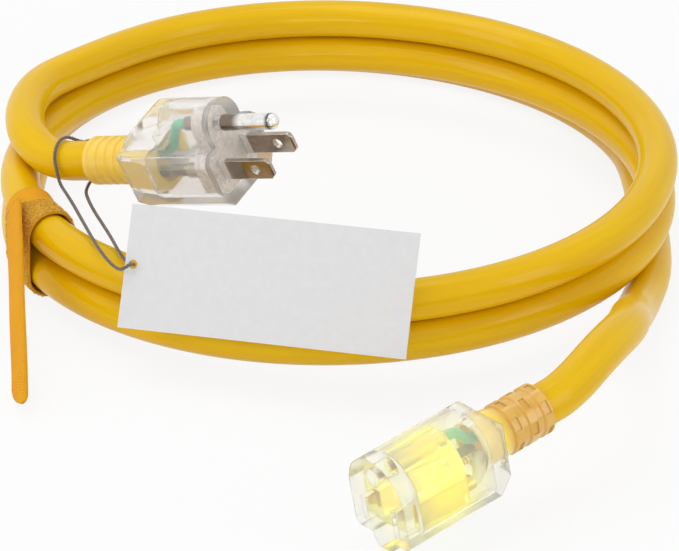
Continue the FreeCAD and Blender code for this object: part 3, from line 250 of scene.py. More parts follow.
def cord_points():
    """The whole route, from the jacket's end in the plug to the one in the connector."""
    coil = coil_turn_points()
    angle = np.pi - tau * COIL_FIRST_TURN
    start = np.array([COIL_RADIUS * np.cos(angle), COIL_RADIUS * np.sin(angle), 0])
    into = coil[0] - start
    into[2] = 0
    into = unit(into)
    slope = (coil[1] - coil[0])[2] / np.linalg.norm((coil[1] - coil[0])[:2])
    reach = COIL_LEAD_IN + np.linalg.norm((coil[0] - start)[:2])
    lead_in = coil[0] - np.array([into[0], into[1], slope]) * reach
    plug_y, connector_y = PLUG_CORD_HEIGHT, CONNECTOR_CORD_HEIGHT
    plug_end = plug.place([(0, plug_y, -PLUG_JACKET_END), (0, plug_y, -PLUG_BOOT_END),
                           (0, plug_y, -PLUG_BOOT_END - PLUG_FIRST_BEND)])
    connector_end = connector.place([(0, connector_y, -CONNECTOR_BOOT_END - CONNECTOR_FIRST_BEND),
                                     (0, connector_y, -CONNECTOR_BOOT_END),
                                     (0, connector_y, -CONNECTOR_JACKET_END)])
    return np.concatenate([plug_end, PLUG_LEAD, [lead_in], coil, back_turn_points(),
                           CONNECTOR_LEAD, connector_end])


def smooth_line(points, smoothness):
    """Places along the quadratic spline that has the route's points as its control points."""
    curve = bpy.data.curves.new("route", "CURVE")
    curve.dimensions = "3D"
    spline = curve.splines.new("NURBS")
    spline.points.add(len(points) - 1)
    spline.points.foreach_set("co", np.column_stack([points, np.ones(len(points))]).ravel())
    spline.order_u, spline.use_endpoint_u = 3, True
    spline.resolution_u = curve.resolution_u = curve.render_resolution_u = smoothness
    holder = bpy.data.objects.new("route", curve)
    bpy.context.scene.collection.objects.link(holder)
    bpy.context.view_layer.update()
    mesh = bpy.data.meshes.new_from_object(holder)
    line = np.empty(len(mesh.vertices) * 3)
    mesh.vertices.foreach_get("co", line)
    bpy.data.objects.remove(holder)
    bpy.data.curves.remove(curve)
    bpy.data.meshes.remove(mesh)
    return line.reshape(-1, 3)


def line_frames(line, reference):
    """Two directions square to the line at each place; the first is also square to the reference."""
    ahead = unit(np.gradient(line, axis=0))
    side = unit(np.cross(ahead, reference))
    return side, np.cross(side, ahead)


def round_tube(line, radius, sides, reference):
    """A circle carried along the line: place + radius * (cos a * side + sin a * rise)."""
    side, rise = line_frames(line, reference)
    a = tau * np.arange(sides)[:, None] / sides
    return line[:, None] + radius * (np.cos(a) * side[:, None] + np.sin(a) * rise[:, None])


def closed_skin(grid, rows_meet=False):
    """Points, quads, end triangles and UVs of a grid that closes round its columns. Its ends are closed
    by fans of triangles, unless its rows meet too."""
    rows, columns = grid.shape[:2]
    points = grid.reshape(-1, 3)
    i, j = (index.ravel() for index in np.indices((rows if rows_meet else rows - 1, columns)))
    steps = ((0, 0), (0, 1), (1, 1), (1, 0))
    quads = np.stack([(i + di) % rows * columns + (j + dj) % columns for di, dj in steps], 1)
    reach = np.concatenate([[0], np.cumsum(np.linalg.norm(np.diff(grid.mean(1), axis=0), axis=1))])
    reach = np.append(reach, reach[-1] * rows / (rows - 1))
    uv = np.stack([np.stack([(j + dj) / columns, reach[i + di]], 1) for di, dj in steps], 1)
    if rows_meet:
        return points, quads, np.empty((0, 3), int), uv
    poles = np.stack([grid[0].mean(0), grid[-1].mean(0)])
    around, last = np.arange(columns), (rows - 1) * columns
    nearer = np.roll(around, -1)
    first_pole, last_pole = np.full(columns, rows * columns), np.full(columns, rows * columns + 1)
    fans = np.concatenate([np.stack([first_pole, nearer, around], 1),
                           np.stack([last_pole, last + around, last + nearer], 1)])
    return np.concatenate([points, poles]), quads, fans, uv


def enclosed_volume(points, faces):
    """Six times the volume that the faces enclose; it is negative where they point inward."""
    a, b, c = (points[faces[:, k]] for k in (0, 1, 2))
    volume = np.einsum("ij,ij->", a, np.cross(b, c))
    if faces.shape[1] == 4:
        volume += np.einsum("ij,ij->", a, np.cross(c, points[faces[:, 3]]))
    return volume


def new_piece(name, skins, material, sharp_angle=40.0):
    """One mesh object from several closed skins, with its faces outward and its UV map filled. Edges
    that turn by more than the sharp angle, in degrees, are shaded sharp."""
    points, corners, sizes, uvs, offset = [], [], [], [], 0
    for skin_points, quads, fans, uv in skins:
        inside_out = enclosed_volume(skin_points, quads) + enclosed_volume(skin_points, fans) < 0
        if inside_out:
            quads, fans, uv = quads[:, ::-1], fans[:, ::-1], uv[:, ::-1]
        points.append(skin_points)
        corners += [(quads + offset).ravel(), (fans + offset).ravel()]
        sizes += [np.full(len(quads), 4), np.full(len(fans), 3)]
        uvs += [uv.reshape(-1, 2), np.zeros((fans.size, 2))]
        offset += len(skin_points)
    points, corners, sizes, uvs = (np.concatenate(part) for part in (points, corners, sizes, uvs))
    mesh = bpy.data.meshes.new(name)
    mesh.vertices.add(len(points))
    mesh.vertices.foreach_set("co", points.ravel())
    mesh.loops.add(len(corners))
    mesh.loops.foreach_set("vertex_index", corners.astype(np.int32))
    mesh.polygons.add(len(sizes))
    starts = np.concatenate([[0], np.cumsum(sizes)[:-1]])
    mesh.polygons.foreach_set("loop_start", starts.astype(np.int32))
    mesh.update(calc_edges=True)
    mesh.uv_layers.new(name="lay").data.foreach_set("uv", uvs.ravel())
    mesh.shade_smooth()
    mesh.set_sharp_from_angle(angle=np.radians(sharp_angle))
    mesh.materials.append(material)
    piece = bpy.data.objects.new(name, mesh)
    bpy.context.scene.collection.objects.link(piece)
    return piece


class Finish(Network):
    """A named material: one Principled shader and the nodes that feed it."""

    def __init__(self, name, **constants):
        self.material = bpy.data.materials.new(name)
        self.material.use_nodes = True
        super().__init__(self.material.node_tree)
        self.shader = self.nodes["Principled BSDF"]
        self.feed(**constants)
        self.place = self.put("TexCoord", {}, "Object")

    def feed(self, **sockets):
        """Sets or links the shader's sockets, written with _ for a space; gives back the material."""
        for key, value in sockets.items():
            self.join(self.shader.inputs[key.replace("_", " ")], value)
        return self.material

    def lay(self):
        """The piece's own UV map: the share of the way round it, and metres along it."""
        return self.put("UVMap", {}, uv_map="lay")

    def along(self, direction):
        """How far a place lies along a direction, in metres from the origin."""
        return self.put("VectorMath", {0: self.place, 1: tuple(direction)}, "Value",
                        operation="DOT_PRODUCT")

    def effect(self, group, inputs):
        """A node group with its own values; gives back its outputs."""
        node = self.nodes.new("ShaderNodeGroup")
        node.node_tree = group
        for key, value in inputs.items():
            self.join(node.inputs[key], value)
        return node.outputs

    def mottled(self, scale, place, **more):
        """The outputs of the mottle group, on the object's own coordinates where no place is given."""
        return self.effect(mottle, {"Place": place or self.place, "Scale": scale, **more})

    def cloud(self, low, high, scale, place=None):
        """A colour that drifts softly between two tones."""
        return self.mottled(scale, place, Low=low, High=high)["Colour"]

    def haze(self, scale, smooth, rough, place=None):
        """A roughness that drifts softly between two values."""
        return self.ranged(self.mottled(scale, place)["Value"], 0, 1, smooth, rough)

    def grain(self, scale, relief, place=None):
        """A fine bump, as deep as the relief in metres."""
        return self.mottled(scale, place, Relief=relief)["Normal"]


def effect_group(name, inputs, outputs):
    """An empty node group with named sockets: the tree, its network, and its two ends."""
    tree = bpy.data.node_groups.new(name, "ShaderNodeTree")
    for way, sockets in (("INPUT", inputs), ("OUTPUT", outputs)):
        for socket, kind in sockets.items():
            tree.interface.new_socket(socket, in_out=way, socket_type="NodeSocket" + kind)
    given, made = tree.nodes.new("NodeGroupInput"), tree.nodes.new("NodeGroupOutput")
    return tree, Network(tree), given.outputs, made.inputs


def mottle_group():
    """Soft cloudy tone between two colours, with a matching value and a fine bump normal."""
    tree, net, given, made = effect_group(
        "mottle", {"Place": "Vector", "Scale": "Float", "Low": "Color", "High": "Color", "Relief": "Float"},
        {"Colour": "Color", "Value": "Float", "Normal": "Vector"})
    cloud = net.put("TexNoise", {"Vector": given["Place"], "Scale": given["Scale"], "Detail": CLOUD_DETAIL,
                                 "Roughness": CLOUD_ROUGHNESS})
    tone = net.ranged(cloud, CLOUD_LOW, CLOUD_HIGH, 0, 1)
    bump = net.put("Bump", {"Height": cloud, "Distance": given["Relief"], "Strength": BUMP_STRENGTH})
    net.join(made["Colour"], net.blend(tone, given["Low"], given["High"]))
    net.join(made["Value"], tone)
    net.join(made["Normal"], bump)
    return tree


def vinyl_jacket():
    """Extruded vinyl: faint streaks drawn along the cord, a dusty haze and a soft clear gloss."""
    finish = Finish("yellow_jacket", Coat_Weight=0.28, Coat_Roughness=0.09, Specular_IOR_Level=0.05)
    streaks = finish.put("Mapping", {"Vector": finish.lay(), "Scale": STREAK_STRETCH})
    return finish.feed(Base_Color=finish.cloud(JACKET_DEEP, JACKET_BRIGHT, scale=1, place=streaks),
                       Roughness=finish.haze(scale=260, smooth=0.28, rough=0.38),
                       Normal=finish.grain(scale=900, relief=0.00003))


mottle = mottle_group()
plug = Seat("plug_face", "ground_pin")
connector = Seat("connector_face", "ground_opening")
cord_line = smooth_line(cord_points(), CORD_SMOOTHNESS)
cord_tube = round_tube(cord_line, CORD_DIAMETER / 2, CORD_SIDES, (0, 0, 1))
cord = new_piece("extension_cord", [closed_skin(cord_tube)], vinyl_jacket())
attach(cord, "root")
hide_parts("cord_coil", "cord_plug_lead", "cord_connector_lead")
plug.place((0, PLUG_CORD_HEIGHT, -PLUG_BOOT_END))


# The clear plug and its edges
# The housing is clear vinyl moulded over the boot, faceted at its corners, with polished faces and
# bright thin edges; the plate behind its face holds the blades and shows beige through the plastic.

CLEAR_TINT, LOBE_TINT = (1.0, 0.997, 0.99), (0.965, 0.95, 0.94)
PLATE_DEEP, PLATE_MILK = (0.94, 0.87, 0.80), (0.97, 0.91, 0.85)
EDGE_SOFTNESS, EDGE_SAMPLES, FLAT_MATCH, EDGE_MATCH = 0.0005, 6, 0.995, 0.90


def edge_group():
    """Rounds the shading over sharp edges, and marks them: 1 on an edge and 0 on a flat face."""
    tree, net, given, made = effect_group("moulded_edge", {"Radius": "Float", "Relief": "Vector"},
                                          {"Normal": "Vector", "Edge": "Float"})
    soft = net.put("Bevel", {"Radius": given["Radius"], "Normal": given["Relief"]}, samples=EDGE_SAMPLES)
    flat = net.put("NewGeometry", {}, "True Normal")
    match = net.put("VectorMath", {0: soft, 1: flat}, "Value", operation="DOT_PRODUCT")
    net.join(made["Normal"], soft)
    net.join(made["Edge"], net.ranged(match, FLAT_MATCH, EDGE_MATCH, 0, 1))
    return tree


def soft_edges(finish, radius, grain):
    """The grain's normal rounded over the edges, and the mask of those edges."""
    outputs = finish.effect(moulded_edge, {"Radius": radius, "Relief": grain})
    return outputs["Normal"], outputs["Edge"]


def paint(material, *names):
    """Puts the material on the named pieces of the frame."""
    for name in names:
        for slot in frame["nodes"][name].material_slots:
            slot.material = material


def clear_housing():
    """Clear vinyl: a little milk and flow marks inside, polished outside, with softened edges."""
    finish = Finish("clear_plug_vinyl", Transmission_Weight=0.86, IOR=1.22)
    soft, _ = soft_edges(finish, EDGE_SOFTNESS, finish.grain(scale=90, relief=0.00001))
    return finish.feed(Base_Color=finish.cloud(CLEAR_TINT, LOBE_TINT, scale=130), Normal=soft,
                       Roughness=finish.haze(scale=60, smooth=0.08, rough=0.20))


def plate_plastic():
    """The plate that holds the blades: milky, slightly translucent and rubbed."""
    finish = Finish("blade_plate", Transmission_Weight=0.32, IOR=1.25)
    soft, _ = soft_edges(finish, EDGE_SOFTNESS, finish.grain(scale=500, relief=0.000002))
    return finish.feed(Base_Color=finish.cloud(PLATE_DEEP, PLATE_MILK, scale=110), Normal=soft,
                       Roughness=finish.haze(scale=500, smooth=0.22, rough=0.32))


moulded_edge = edge_group()
paint(clear_housing(), "plug_housing")
paint(plate_plastic(), "plug_blade_carrier")


# The boots
# Two soft moulded strain reliefs, amber vinyl: a ribbed one with a faceted collar behind the plug, and
# a banded one with windows, browner and glossier, behind the connector.

# The pale edges of both boots are a painted highlight.
BOOT_AMBER, BOOT_PALE = (0.93, 0.60, 0.045), (0.94, 0.68, 0.15)
BOOT_TOFFEE, BOOT_TAN = (0.72, 0.38, 0.05), (0.78, 0.47, 0.09)
# The neck tones are painted light, brighter than the boots' own vinyl.
LIT_NECK_AMBER, LIT_NECK_YELLOW = (1.0, 0.74, 0.14), (1.0, 0.74, 0.08)
NECK_START, NECK_FULL = -0.0415, -0.0385
BOOT_ROUGHNESS, BOOT_EDGE_ROUGHNESS = 0.35, 0.25


def ahead_of(finish, seat):
    """How far a place lies in front of a moulded end's face, in metres; behind it is negative."""
    return finish.calc("SUBTRACT", finish.along(seat.forward), float(seat.origin @ seat.forward))


def boot_vinyl(name, deep, pale, lit_neck_colour, seat, coat):
    """Soft translucent vinyl, with a painted highlight on its edges and painted light in the neck inside the
    housing.
    """
    finish = Finish(name, Coat_Weight=coat, Coat_Roughness=0.10, Specular_IOR_Level=0.2,
                    Subsurface_Weight=0.12, Subsurface_Radius=(0.9, 0.5, 0.15), Subsurface_Scale=0.002)
    soft, edge = soft_edges(finish, EDGE_SOFTNESS, finish.grain(scale=700, relief=0.00003))
    neck = finish.ranged(ahead_of(finish, seat), NECK_START, NECK_FULL, 0, 1)
    tone = finish.blend(neck, finish.cloud(deep, pale, scale=170), lit_neck_colour)
    gloss = finish.ranged(edge, 0, 1, BOOT_ROUGHNESS, BOOT_EDGE_ROUGHNESS)
    return finish.feed(Base_Color=finish.blend(edge, tone, pale), Roughness=gloss, Normal=soft)


paint(boot_vinyl("plug_boot_vinyl", BOOT_AMBER, BOOT_PALE, LIT_NECK_AMBER, plug, coat=0.25),
      "plug_strain_relief")
paint(boot_vinyl("connector_boot_vinyl", BOOT_TOFFEE, BOOT_TAN, LIT_NECK_YELLOW, connector, coat=0.9),
      "connector_strain_relief")


# The blades, the pin and the contacts
# Stamped nickel-plated blades with a hole near the tip, a round pin, and sprung brass contacts with
# crimped barrels. The blades' taupe-brown is a painted reflection, and bright edges are a painted highlight.

NICKEL_REFLECTED_DARK, NICKEL_REFLECTED_WARM, NICKEL_BRIGHT_AND_HIGHLIGHT = (0.36, 0.30, 0.24), (0.46, 0.40, 0.34), (0.92, 0.90, 0.86)
BRASS_DULL, BRASS_BRIGHT, BRASS_HIGHLIGHT = (0.52, 0.33, 0.10), (0.80, 0.58, 0.25), (0.92, 0.76, 0.45)
# The pin's brown root and dark ring are painted reflections.
PIN_SILVER, PIN_ROOT_REFLECTION, PIN_RING_REFLECTION = (0.72, 0.71, 0.70), (0.26, 0.21, 0.17), (0.05, 0.045, 0.04)
PIN_ROOT_REFLECTION_FULL, PIN_ROOT_REFLECTION_END, PIN_RING, PIN_RING_HALF = 0.0045, 0.0070, 0.0172, 0.0012
BLADE_MARKS, CONTACT_MARKS = (300, 500, 900), (300, 300, 500)


def bare_metal(name, dull, warm, highlight_colour, marks):
    """Rolled metal: marks drawn out along the piece, darker stains, and edges painted bright as a painted
    highlight.
    """
    finish = Finish(name, Metallic=1.0)
    drawn = finish.put("Mapping", {"Vector": finish.place, "Scale": marks})
    grain = finish.grain(scale=2, relief=0.000004, place=drawn)
    soft, edge = soft_edges(finish, EDGE_SOFTNESS / 2, grain)
    tone = finish.cloud(dull, warm, scale=1, place=drawn)
    return finish.feed(Base_Color=finish.blend(edge, tone, highlight_colour), Normal=soft,
                       Roughness=finish.haze(scale=3, smooth=0.16, rough=0.26, place=drawn))


def polished_pin():
    """Bright plating with painted reflections: brown at the root, and a dark ring where the round tip starts."""
    finish = Finish("plated_pin", Metallic=1.0)
    reach = ahead_of(finish, plug)
    root = finish.ranged(reach, PIN_ROOT_REFLECTION_FULL, PIN_ROOT_REFLECTION_END, 1, 0)
    rise = finish.ranged(reach, PIN_RING - PIN_RING_HALF, PIN_RING, 0, 1)
    fall = finish.ranged(reach, PIN_RING, PIN_RING + PIN_RING_HALF, 1, 0)
    tone = finish.blend(root, finish.cloud(PIN_SILVER, NICKEL_BRIGHT_AND_HIGHLIGHT, scale=500), PIN_ROOT_REFLECTION)
    ring_reflected = finish.blend(finish.calc("MULTIPLY", rise, fall), tone, PIN_RING_REFLECTION)
    return finish.feed(Base_Color=ring_reflected, Roughness=finish.haze(scale=900, smooth=0.08, rough=0.18),
                       Normal=finish.grain(scale=900, relief=0.000003))


# The blades' taupe-brown tones are a painted reflection.
paint(bare_metal("plated_blades", NICKEL_REFLECTED_DARK, NICKEL_REFLECTED_WARM, NICKEL_BRIGHT_AND_HIGHLIGHT, BLADE_MARKS),
      "plug_blade_line", "plug_blade_neutral")
paint(bare_metal("sprung_brass", BRASS_DULL, BRASS_BRIGHT, BRASS_HIGHLIGHT, CONTACT_MARKS),
      "connector_contact_line", "connector_contact_neutral", "connector_contact_ground")
paint(polished_pin(), "plug_ground_pin")


# The wires
# Three insulated wires in each moulded end, black, white and green, with bared ends that are crimped
# into the barrels.

WIRE_COLOURS = {"line": (0.035, 0.033, 0.036), "neutral": (0.80, 0.79, 0.76), "ground": (0.02, 0.52, 0.27)}
PALER_SHARE, PALER_LIFT = 0.86, 0.10


def wire_cover(name, colour):
    """Thin extruded insulation: an even colour that pales a little in patches, with a soft gloss."""
    finish = Finish(name, Coat_Weight=0.2, Coat_Roughness=0.2)
    paler = tuple(PALER_SHARE * part + PALER_LIFT for part in colour)
    return finish.feed(Base_Color=finish.cloud(colour, paler, scale=320),
                       Roughness=finish.haze(scale=900, smooth=0.32, rough=0.45),
                       Normal=finish.grain(scale=900, relief=0.00002))


for role, colour in WIRE_COLOURS.items():
    paint(wire_cover(f"{role}_insulation", colour), f"plug_wire_{role}", f"connector_wire_{role}")


# The lit connector
# A clear housing with a domed top and a keel, over a clear block that holds the contacts. A small
# lamp in the block glows yellow when the cord is live, fed through a resistor by two bare leads.

# The lamp's light on the clear housing and the contact block is painted: a yellow colour and a glow that fade with
# distance.
LAMP_UP, LAMP_BACK = 0.0032, -0.0165
GLOW_REACH, LIGHT_REACH, HEART_REACH = 0.0215, 0.0195, 0.009
GLOW_YELLOW, BLOCK_CLEAR, HOUSING_CLEAR = (1.0, 0.985, 0.42), (0.97, 0.965, 0.86), (0.985, 0.98, 0.95)
GLOW_LIGHT, UNLIT = (1.0, 0.93, 0.03), (0.0, 0.0, 0.0)
# The olive-grey tone on every edge of the clear connector parts is painted shade.
EDGE_SHADE_TONE, EDGE_SHADE_STRENGTH, HAZE_SPREAD = (0.66, 0.64, 0.50), 0.7, 0.06
LAMP_HEART, LAMP_RIM = (1.0, 0.98, 0.15), (0.9, 0.6, 0.02)
RESISTOR_TAN, RESISTOR_PALE, RING_RED = (0.62, 0.45, 0.24), (0.74, 0.57, 0.34), (0.35, 0.06, 0.02)
RING_PITCH, RING_START, RING_FULL = 0.0011, 0.00070, 0.00072
RESISTOR_ROUGHNESS, RING_ROUGHNESS = 0.35, 0.25
TIN_DULL, TIN_BRIGHT, LEAD_MARKS = (0.45, 0.44, 0.42), (0.70, 0.69, 0.66), (400, 400, 400)


def glow_group():
    """A colour by the distance from the lit lamp: near at its centre, and far from the reach on."""
    tree, net, given, made = effect_group(
        "lamp_glow", {"Place": "Vector", "Centre": "Vector", "Reach": "Float", "Far": "Color",
                      "Near": "Color"}, {"Colour": "Color"})
    apart = net.put("VectorMath", {0: given["Place"], 1: given["Centre"]}, "Value", operation="DISTANCE")
    share = net.put("MapRange", {"Value": apart, "From Min": given["Reach"], "From Max": 0.0},
                    interpolation_type="SMOOTHSTEP")
    net.join(made["Colour"], net.blend(share, given["Far"], given["Near"]))
    return tree


def by_the_lamp(finish, reach, far, near):
    """The glow group's colour round the lamp's place in the connector."""
    centre = tuple(connector.place((0, LAMP_UP, LAMP_BACK)))
    return finish.effect(lamp_glow, {"Place": finish.place, "Centre": centre, "Reach": reach,
                                     "Far": far, "Near": near})["Colour"]


def glowing_vinyl(name, clear, glow, smooth):
    """Clear vinyl with the lamp's light painted on: painted yellow and glow near the lamp, painted shade on its
    edges.
    """
    finish = Finish(name, Transmission_Weight=0.82, IOR=1.18, Emission_Strength=glow)
    soft, edge = soft_edges(finish, EDGE_SOFTNESS, finish.grain(scale=170, relief=0.00003))
    edge_shaded = finish.blend(finish.ranged(edge, 0, 1, 0, EDGE_SHADE_STRENGTH),
                           by_the_lamp(finish, GLOW_REACH, clear, GLOW_YELLOW), EDGE_SHADE_TONE)
    return finish.feed(Base_Color=edge_shaded, Normal=soft,
                       Emission_Color=by_the_lamp(finish, LIGHT_REACH, UNLIT, GLOW_LIGHT),
                       Roughness=finish.haze(scale=80, smooth=smooth, rough=smooth + HAZE_SPREAD))


def lamp_lens():
    """The glowing lamp: brightest at its middle."""
    finish = Finish("lit_lamp", Roughness=0.3, Emission_Strength=1.3)
    light = by_the_lamp(finish, HEART_REACH, LAMP_RIM, LAMP_HEART)
    return finish.feed(Base_Color=light, Emission_Color=light)


def resistor_body():
    """Tan lacquered ceramic with red-brown code rings at even steps along its length."""
    finish = Finish("resistor_lacquer", Coat_Weight=0.6, Coat_Roughness=0.2)
    step = finish.calc("FLOORED_MODULO", finish.along(connector.forward), RING_PITCH)
    ring = finish.ranged(step, RING_START, RING_FULL, 0, 1)
    tone = finish.blend(ring, finish.cloud(RESISTOR_TAN, RESISTOR_PALE, scale=800), RING_RED)
    return finish.feed(Base_Color=tone,
                       Roughness=finish.ranged(ring, 0, 1, RESISTOR_ROUGHNESS, RING_ROUGHNESS))


lamp_glow = glow_group()
paint(glowing_vinyl("clear_connector_vinyl", HOUSING_CLEAR, glow=0.20, smooth=0.06), "connector_housing")
paint(glowing_vinyl("contact_block", BLOCK_CLEAR, glow=0.24, smooth=0.14), "connector_contact_carrier")
paint(lamp_lens(), "indicator_lamp")
paint(resistor_body(), "indicator_resistor")
paint(bare_metal("tinned_leads", TIN_DULL, TIN_BRIGHT, NICKEL_BRIGHT_AND_HIGHLIGHT, LEAD_MARKS), "indicator_leads")


# The strap
# A hook and loop tie, woven orange nylon: it goes twice round the two front turns with its looped
# face outward, and its smooth free end hangs down to the table.

STRAP_WIDTH, STRAP_THICKNESS, STRAP_SQUARENESS = 0.010, 0.0009, (0.22, 0.5)
STRAP_CENTRE_RADIUS, STRAP_UPPER, STRAP_LOWER = 0.09769, 0.02038, 0.00793
STRAP_FIRST_ANGLE, STRAP_OVERLAP = np.radians(199.5), np.radians(0.4)
BAND_CLEARANCES, BAND_STATIONS, BAND_PROFILE = (0.0005, 0.0008), 180, 28
BAND_RIPPLE, BAND_RIPPLES, BAND_RIPPLE_SHIFT = 0.00005, 9, 2
BARE_STARTS, BARE_SLANT, BARE_END, BARE_SHARPNESS = (0.05, 0.28), 0.09, 0.62, 60
BOUND_EDGE, INNER_SIDE = 0.465, -0.1
TAIL_RUN, TAIL_LENGTH, TAIL_STATIONS, TAIL_END_STEPS = (8.9, -73.5, -20.95), 0.0785, 150, 24
TAIL_SLANT, TAIL_SLANT_START, TAIL_ROOT_ROUND, TAIL_LEAST_WIDTH = 0.0050, 0.058, 0.0036, 0.04
TAIL_RIPPLE, TAIL_RIPPLE_PITCH = 0.00006, 0.006
LOOP_COUNT, LOOP_SIDES, LOOP_STATIONS, STRAP_SEED = 4300, 3, 6, 11
LOOP_WIDTH, LOOP_HEIGHT, LOOP_THREAD, LOOP_LEAN = 0.00095, 0.00042, 0.00008, 0.3
LOOP_TALL, LOOP_WIDE, LOOP_SPREAD, LOOP_FLOOR_GAP = (0.5, 1.25), (0.7, 1.3), 0.94, 0.0007
LOOP_REFERENCE = (0.2, -0.3, 0.93)
# The tail's two oranges are darker copies of the strap's orange, painted shade against the lamp that it faces.
STRAP_ORANGE, TAIL_SHADED_ORANGE, TAIL_SHADED_AMBER = (0.86, 0.385, 0.010), (0.84, 0.355, 0.004), (0.90, 0.42, 0.008)
# The loops' gold is a painted highlight, scattered at random.
LOOP_OCHRE, LOOP_HIGHLIGHT_GOLD, LOOP_SHADED_GROUND = (0.85, 0.46, 0.030), (1.0, 0.72, 0.16), (0.50, 0.22, 0.010)
RIB_SHADE, RIBS_ACROSS, RIBS_ALONG = (0.58, 0.24, 0.004), 26.0, 1100.0
RIB_RELIEF, RIB_STRENGTH = 0.00012, 0.6
SMOOTH_ROUGHNESS, LOOPED_ROUGHNESS = (0.70, 0.50), (0.85, 0.65)


def flat_profile():
    """The webbing's outline, a superellipse: half its width times cos a and half its thickness times
    sin a, where each of the two is raised to a power and keeps its sign."""
    a = tau * (np.arange(BAND_PROFILE) + 0.5) / BAND_PROFILE
    c, s = np.cos(a), np.sin(a)
    return np.stack([STRAP_WIDTH / 2 * np.sign(c) * np.abs(c) ** STRAP_SQUARENESS[0],
                     STRAP_THICKNESS / 2 * np.sign(s) * np.abs(s) ** STRAP_SQUARENESS[1]], 1)


def round_the_turns(share, radius):
    """Out, up and the outward normal on a stadium round the two cords; 0 is the outer side's top."""
    height = STRAP_UPPER - STRAP_LOWER
    travel = np.asarray(share) % 1.0 * (tau * radius + 2 * height)
    half = np.pi * radius
    turn = np.where(travel < half, travel / radius,
                    np.where(travel < half + height, np.pi,
                             np.where(travel < 2 * half + height, (travel - height) / radius, tau)))
    fall = np.select([travel < half, travel < half + height, travel < 2 * half + height],
                     [0.0, travel - half, height], 2 * half + 2 * height - travel)
    out, up = radius * np.cos(turn), STRAP_UPPER - fall + radius * np.sin(turn)
    return out, up, np.stack([np.cos(turn), np.sin(turn)], -1)


def band_places(index, share, across, lift):
    """Places on one of the two bands: round the cords, across the width and above mid-thickness."""
    sweep = STRAP_WIDTH / COIL_RADIUS
    middle = STRAP_FIRST_ANGLE + sweep / 2 + index * (sweep - STRAP_OVERLAP)
    radius = CORD_DIAMETER / 2 + BAND_CLEARANCES[index] + STRAP_THICKNESS / 2
    out, up, normal = round_the_turns(share, radius)
    reach = STRAP_CENTRE_RADIUS + out + lift * normal[..., 0]
    angle = middle + across / STRAP_CENTRE_RADIUS
    return np.stack([reach * np.cos(angle), reach * np.sin(angle), up + lift * normal[..., 1]], -1)


def bare_patch(index, share, across):
    """Where the strap shows its smooth back: 1 on the top and the inner side, from a slanting start."""
    start = BARE_STARTS[index] + BARE_SLANT * across / (STRAP_WIDTH / 2)
    return (np.clip((share - start) * BARE_SHARPNESS, 0, 1)
            * np.clip((BARE_END - share) * BARE_SHARPNESS, 0, 1))


def strap_band(index):
    """One turn of the strap: the webbing's outline carried round the stadium, with a slight ripple."""
    share = (np.arange(BAND_STATIONS) / BAND_STATIONS)[:, None]
    profile = flat_profile()[None]
    ripple = BAND_RIPPLE * np.sin(tau * BAND_RIPPLES * share + BAND_RIPPLE_SHIFT * index)
    return closed_skin(band_places(index, share, profile[..., 0], profile[..., 1] + ripple), rows_meet=True)


def mark_bare(piece):
    """Writes the attribute bare: the bare patches of both bands, and the second band's bound edge."""
    share = np.repeat(np.arange(BAND_STATIONS) / BAND_STATIONS, BAND_PROFILE)
    across, lift = np.tile(flat_profile(), (BAND_STATIONS, 1)).T
    bound = (across > BOUND_EDGE * STRAP_WIDTH) & (lift >= INNER_SIDE * STRAP_THICKNESS)
    bare = np.concatenate([bare_patch(0, share, across), np.maximum(bare_patch(1, share, across), bound)])
    piece.data.attributes.new("bare", "FLOAT", "POINT").data.foreach_set("value", bare)


def loop_fibres():
    """Little arches of thread all over the looped face: height * (1 - (2 u) squared) over the step u,
    each with its own place, turn, lean, height and width."""
    draw = np.random.default_rng(STRAP_SEED)
    girth = tau * (CORD_DIAMETER / 2 + STRAP_THICKNESS) + 2 * (STRAP_UPPER - STRAP_LOWER)
    along = np.linspace(-0.5, 0.5, LOOP_STATIONS)[None]
    skins = []
    for index in range(2):
        share = draw.random(LOOP_COUNT // 2)
        across = (draw.random(LOOP_COUNT // 2) - 0.5) * STRAP_WIDTH * LOOP_SPREAD
        clear = band_places(index, share, across, STRAP_THICKNESS / 2)[:, 2] > LOOP_FLOOR_GAP
        kept = clear & (bare_patch(index, share, across) < 0.5)
        share, across, count = share[kept], across[kept], kept.sum()
        turn, lean = draw.random((count, 1)) * tau, draw.normal(0, LOOP_LEAN, (count, 1))
        tall = draw.uniform(*LOOP_TALL, (count, 1)) * LOOP_HEIGHT
        wide = draw.uniform(*LOOP_WIDE, (count, 1)) * LOOP_WIDTH
        arch, step = tall * (1 - (2 * along) ** 2) - LOOP_THREAD, wide * along
        centre = band_places(index, share[:, None] + step * np.cos(turn) / girth,
                             across[:, None] + step * np.sin(turn) + lean * arch, STRAP_THICKNESS / 2 + arch)
        skins += [closed_skin(round_tube(line, LOOP_THREAD, LOOP_SIDES, LOOP_REFERENCE)) for line in centre]
    return skins


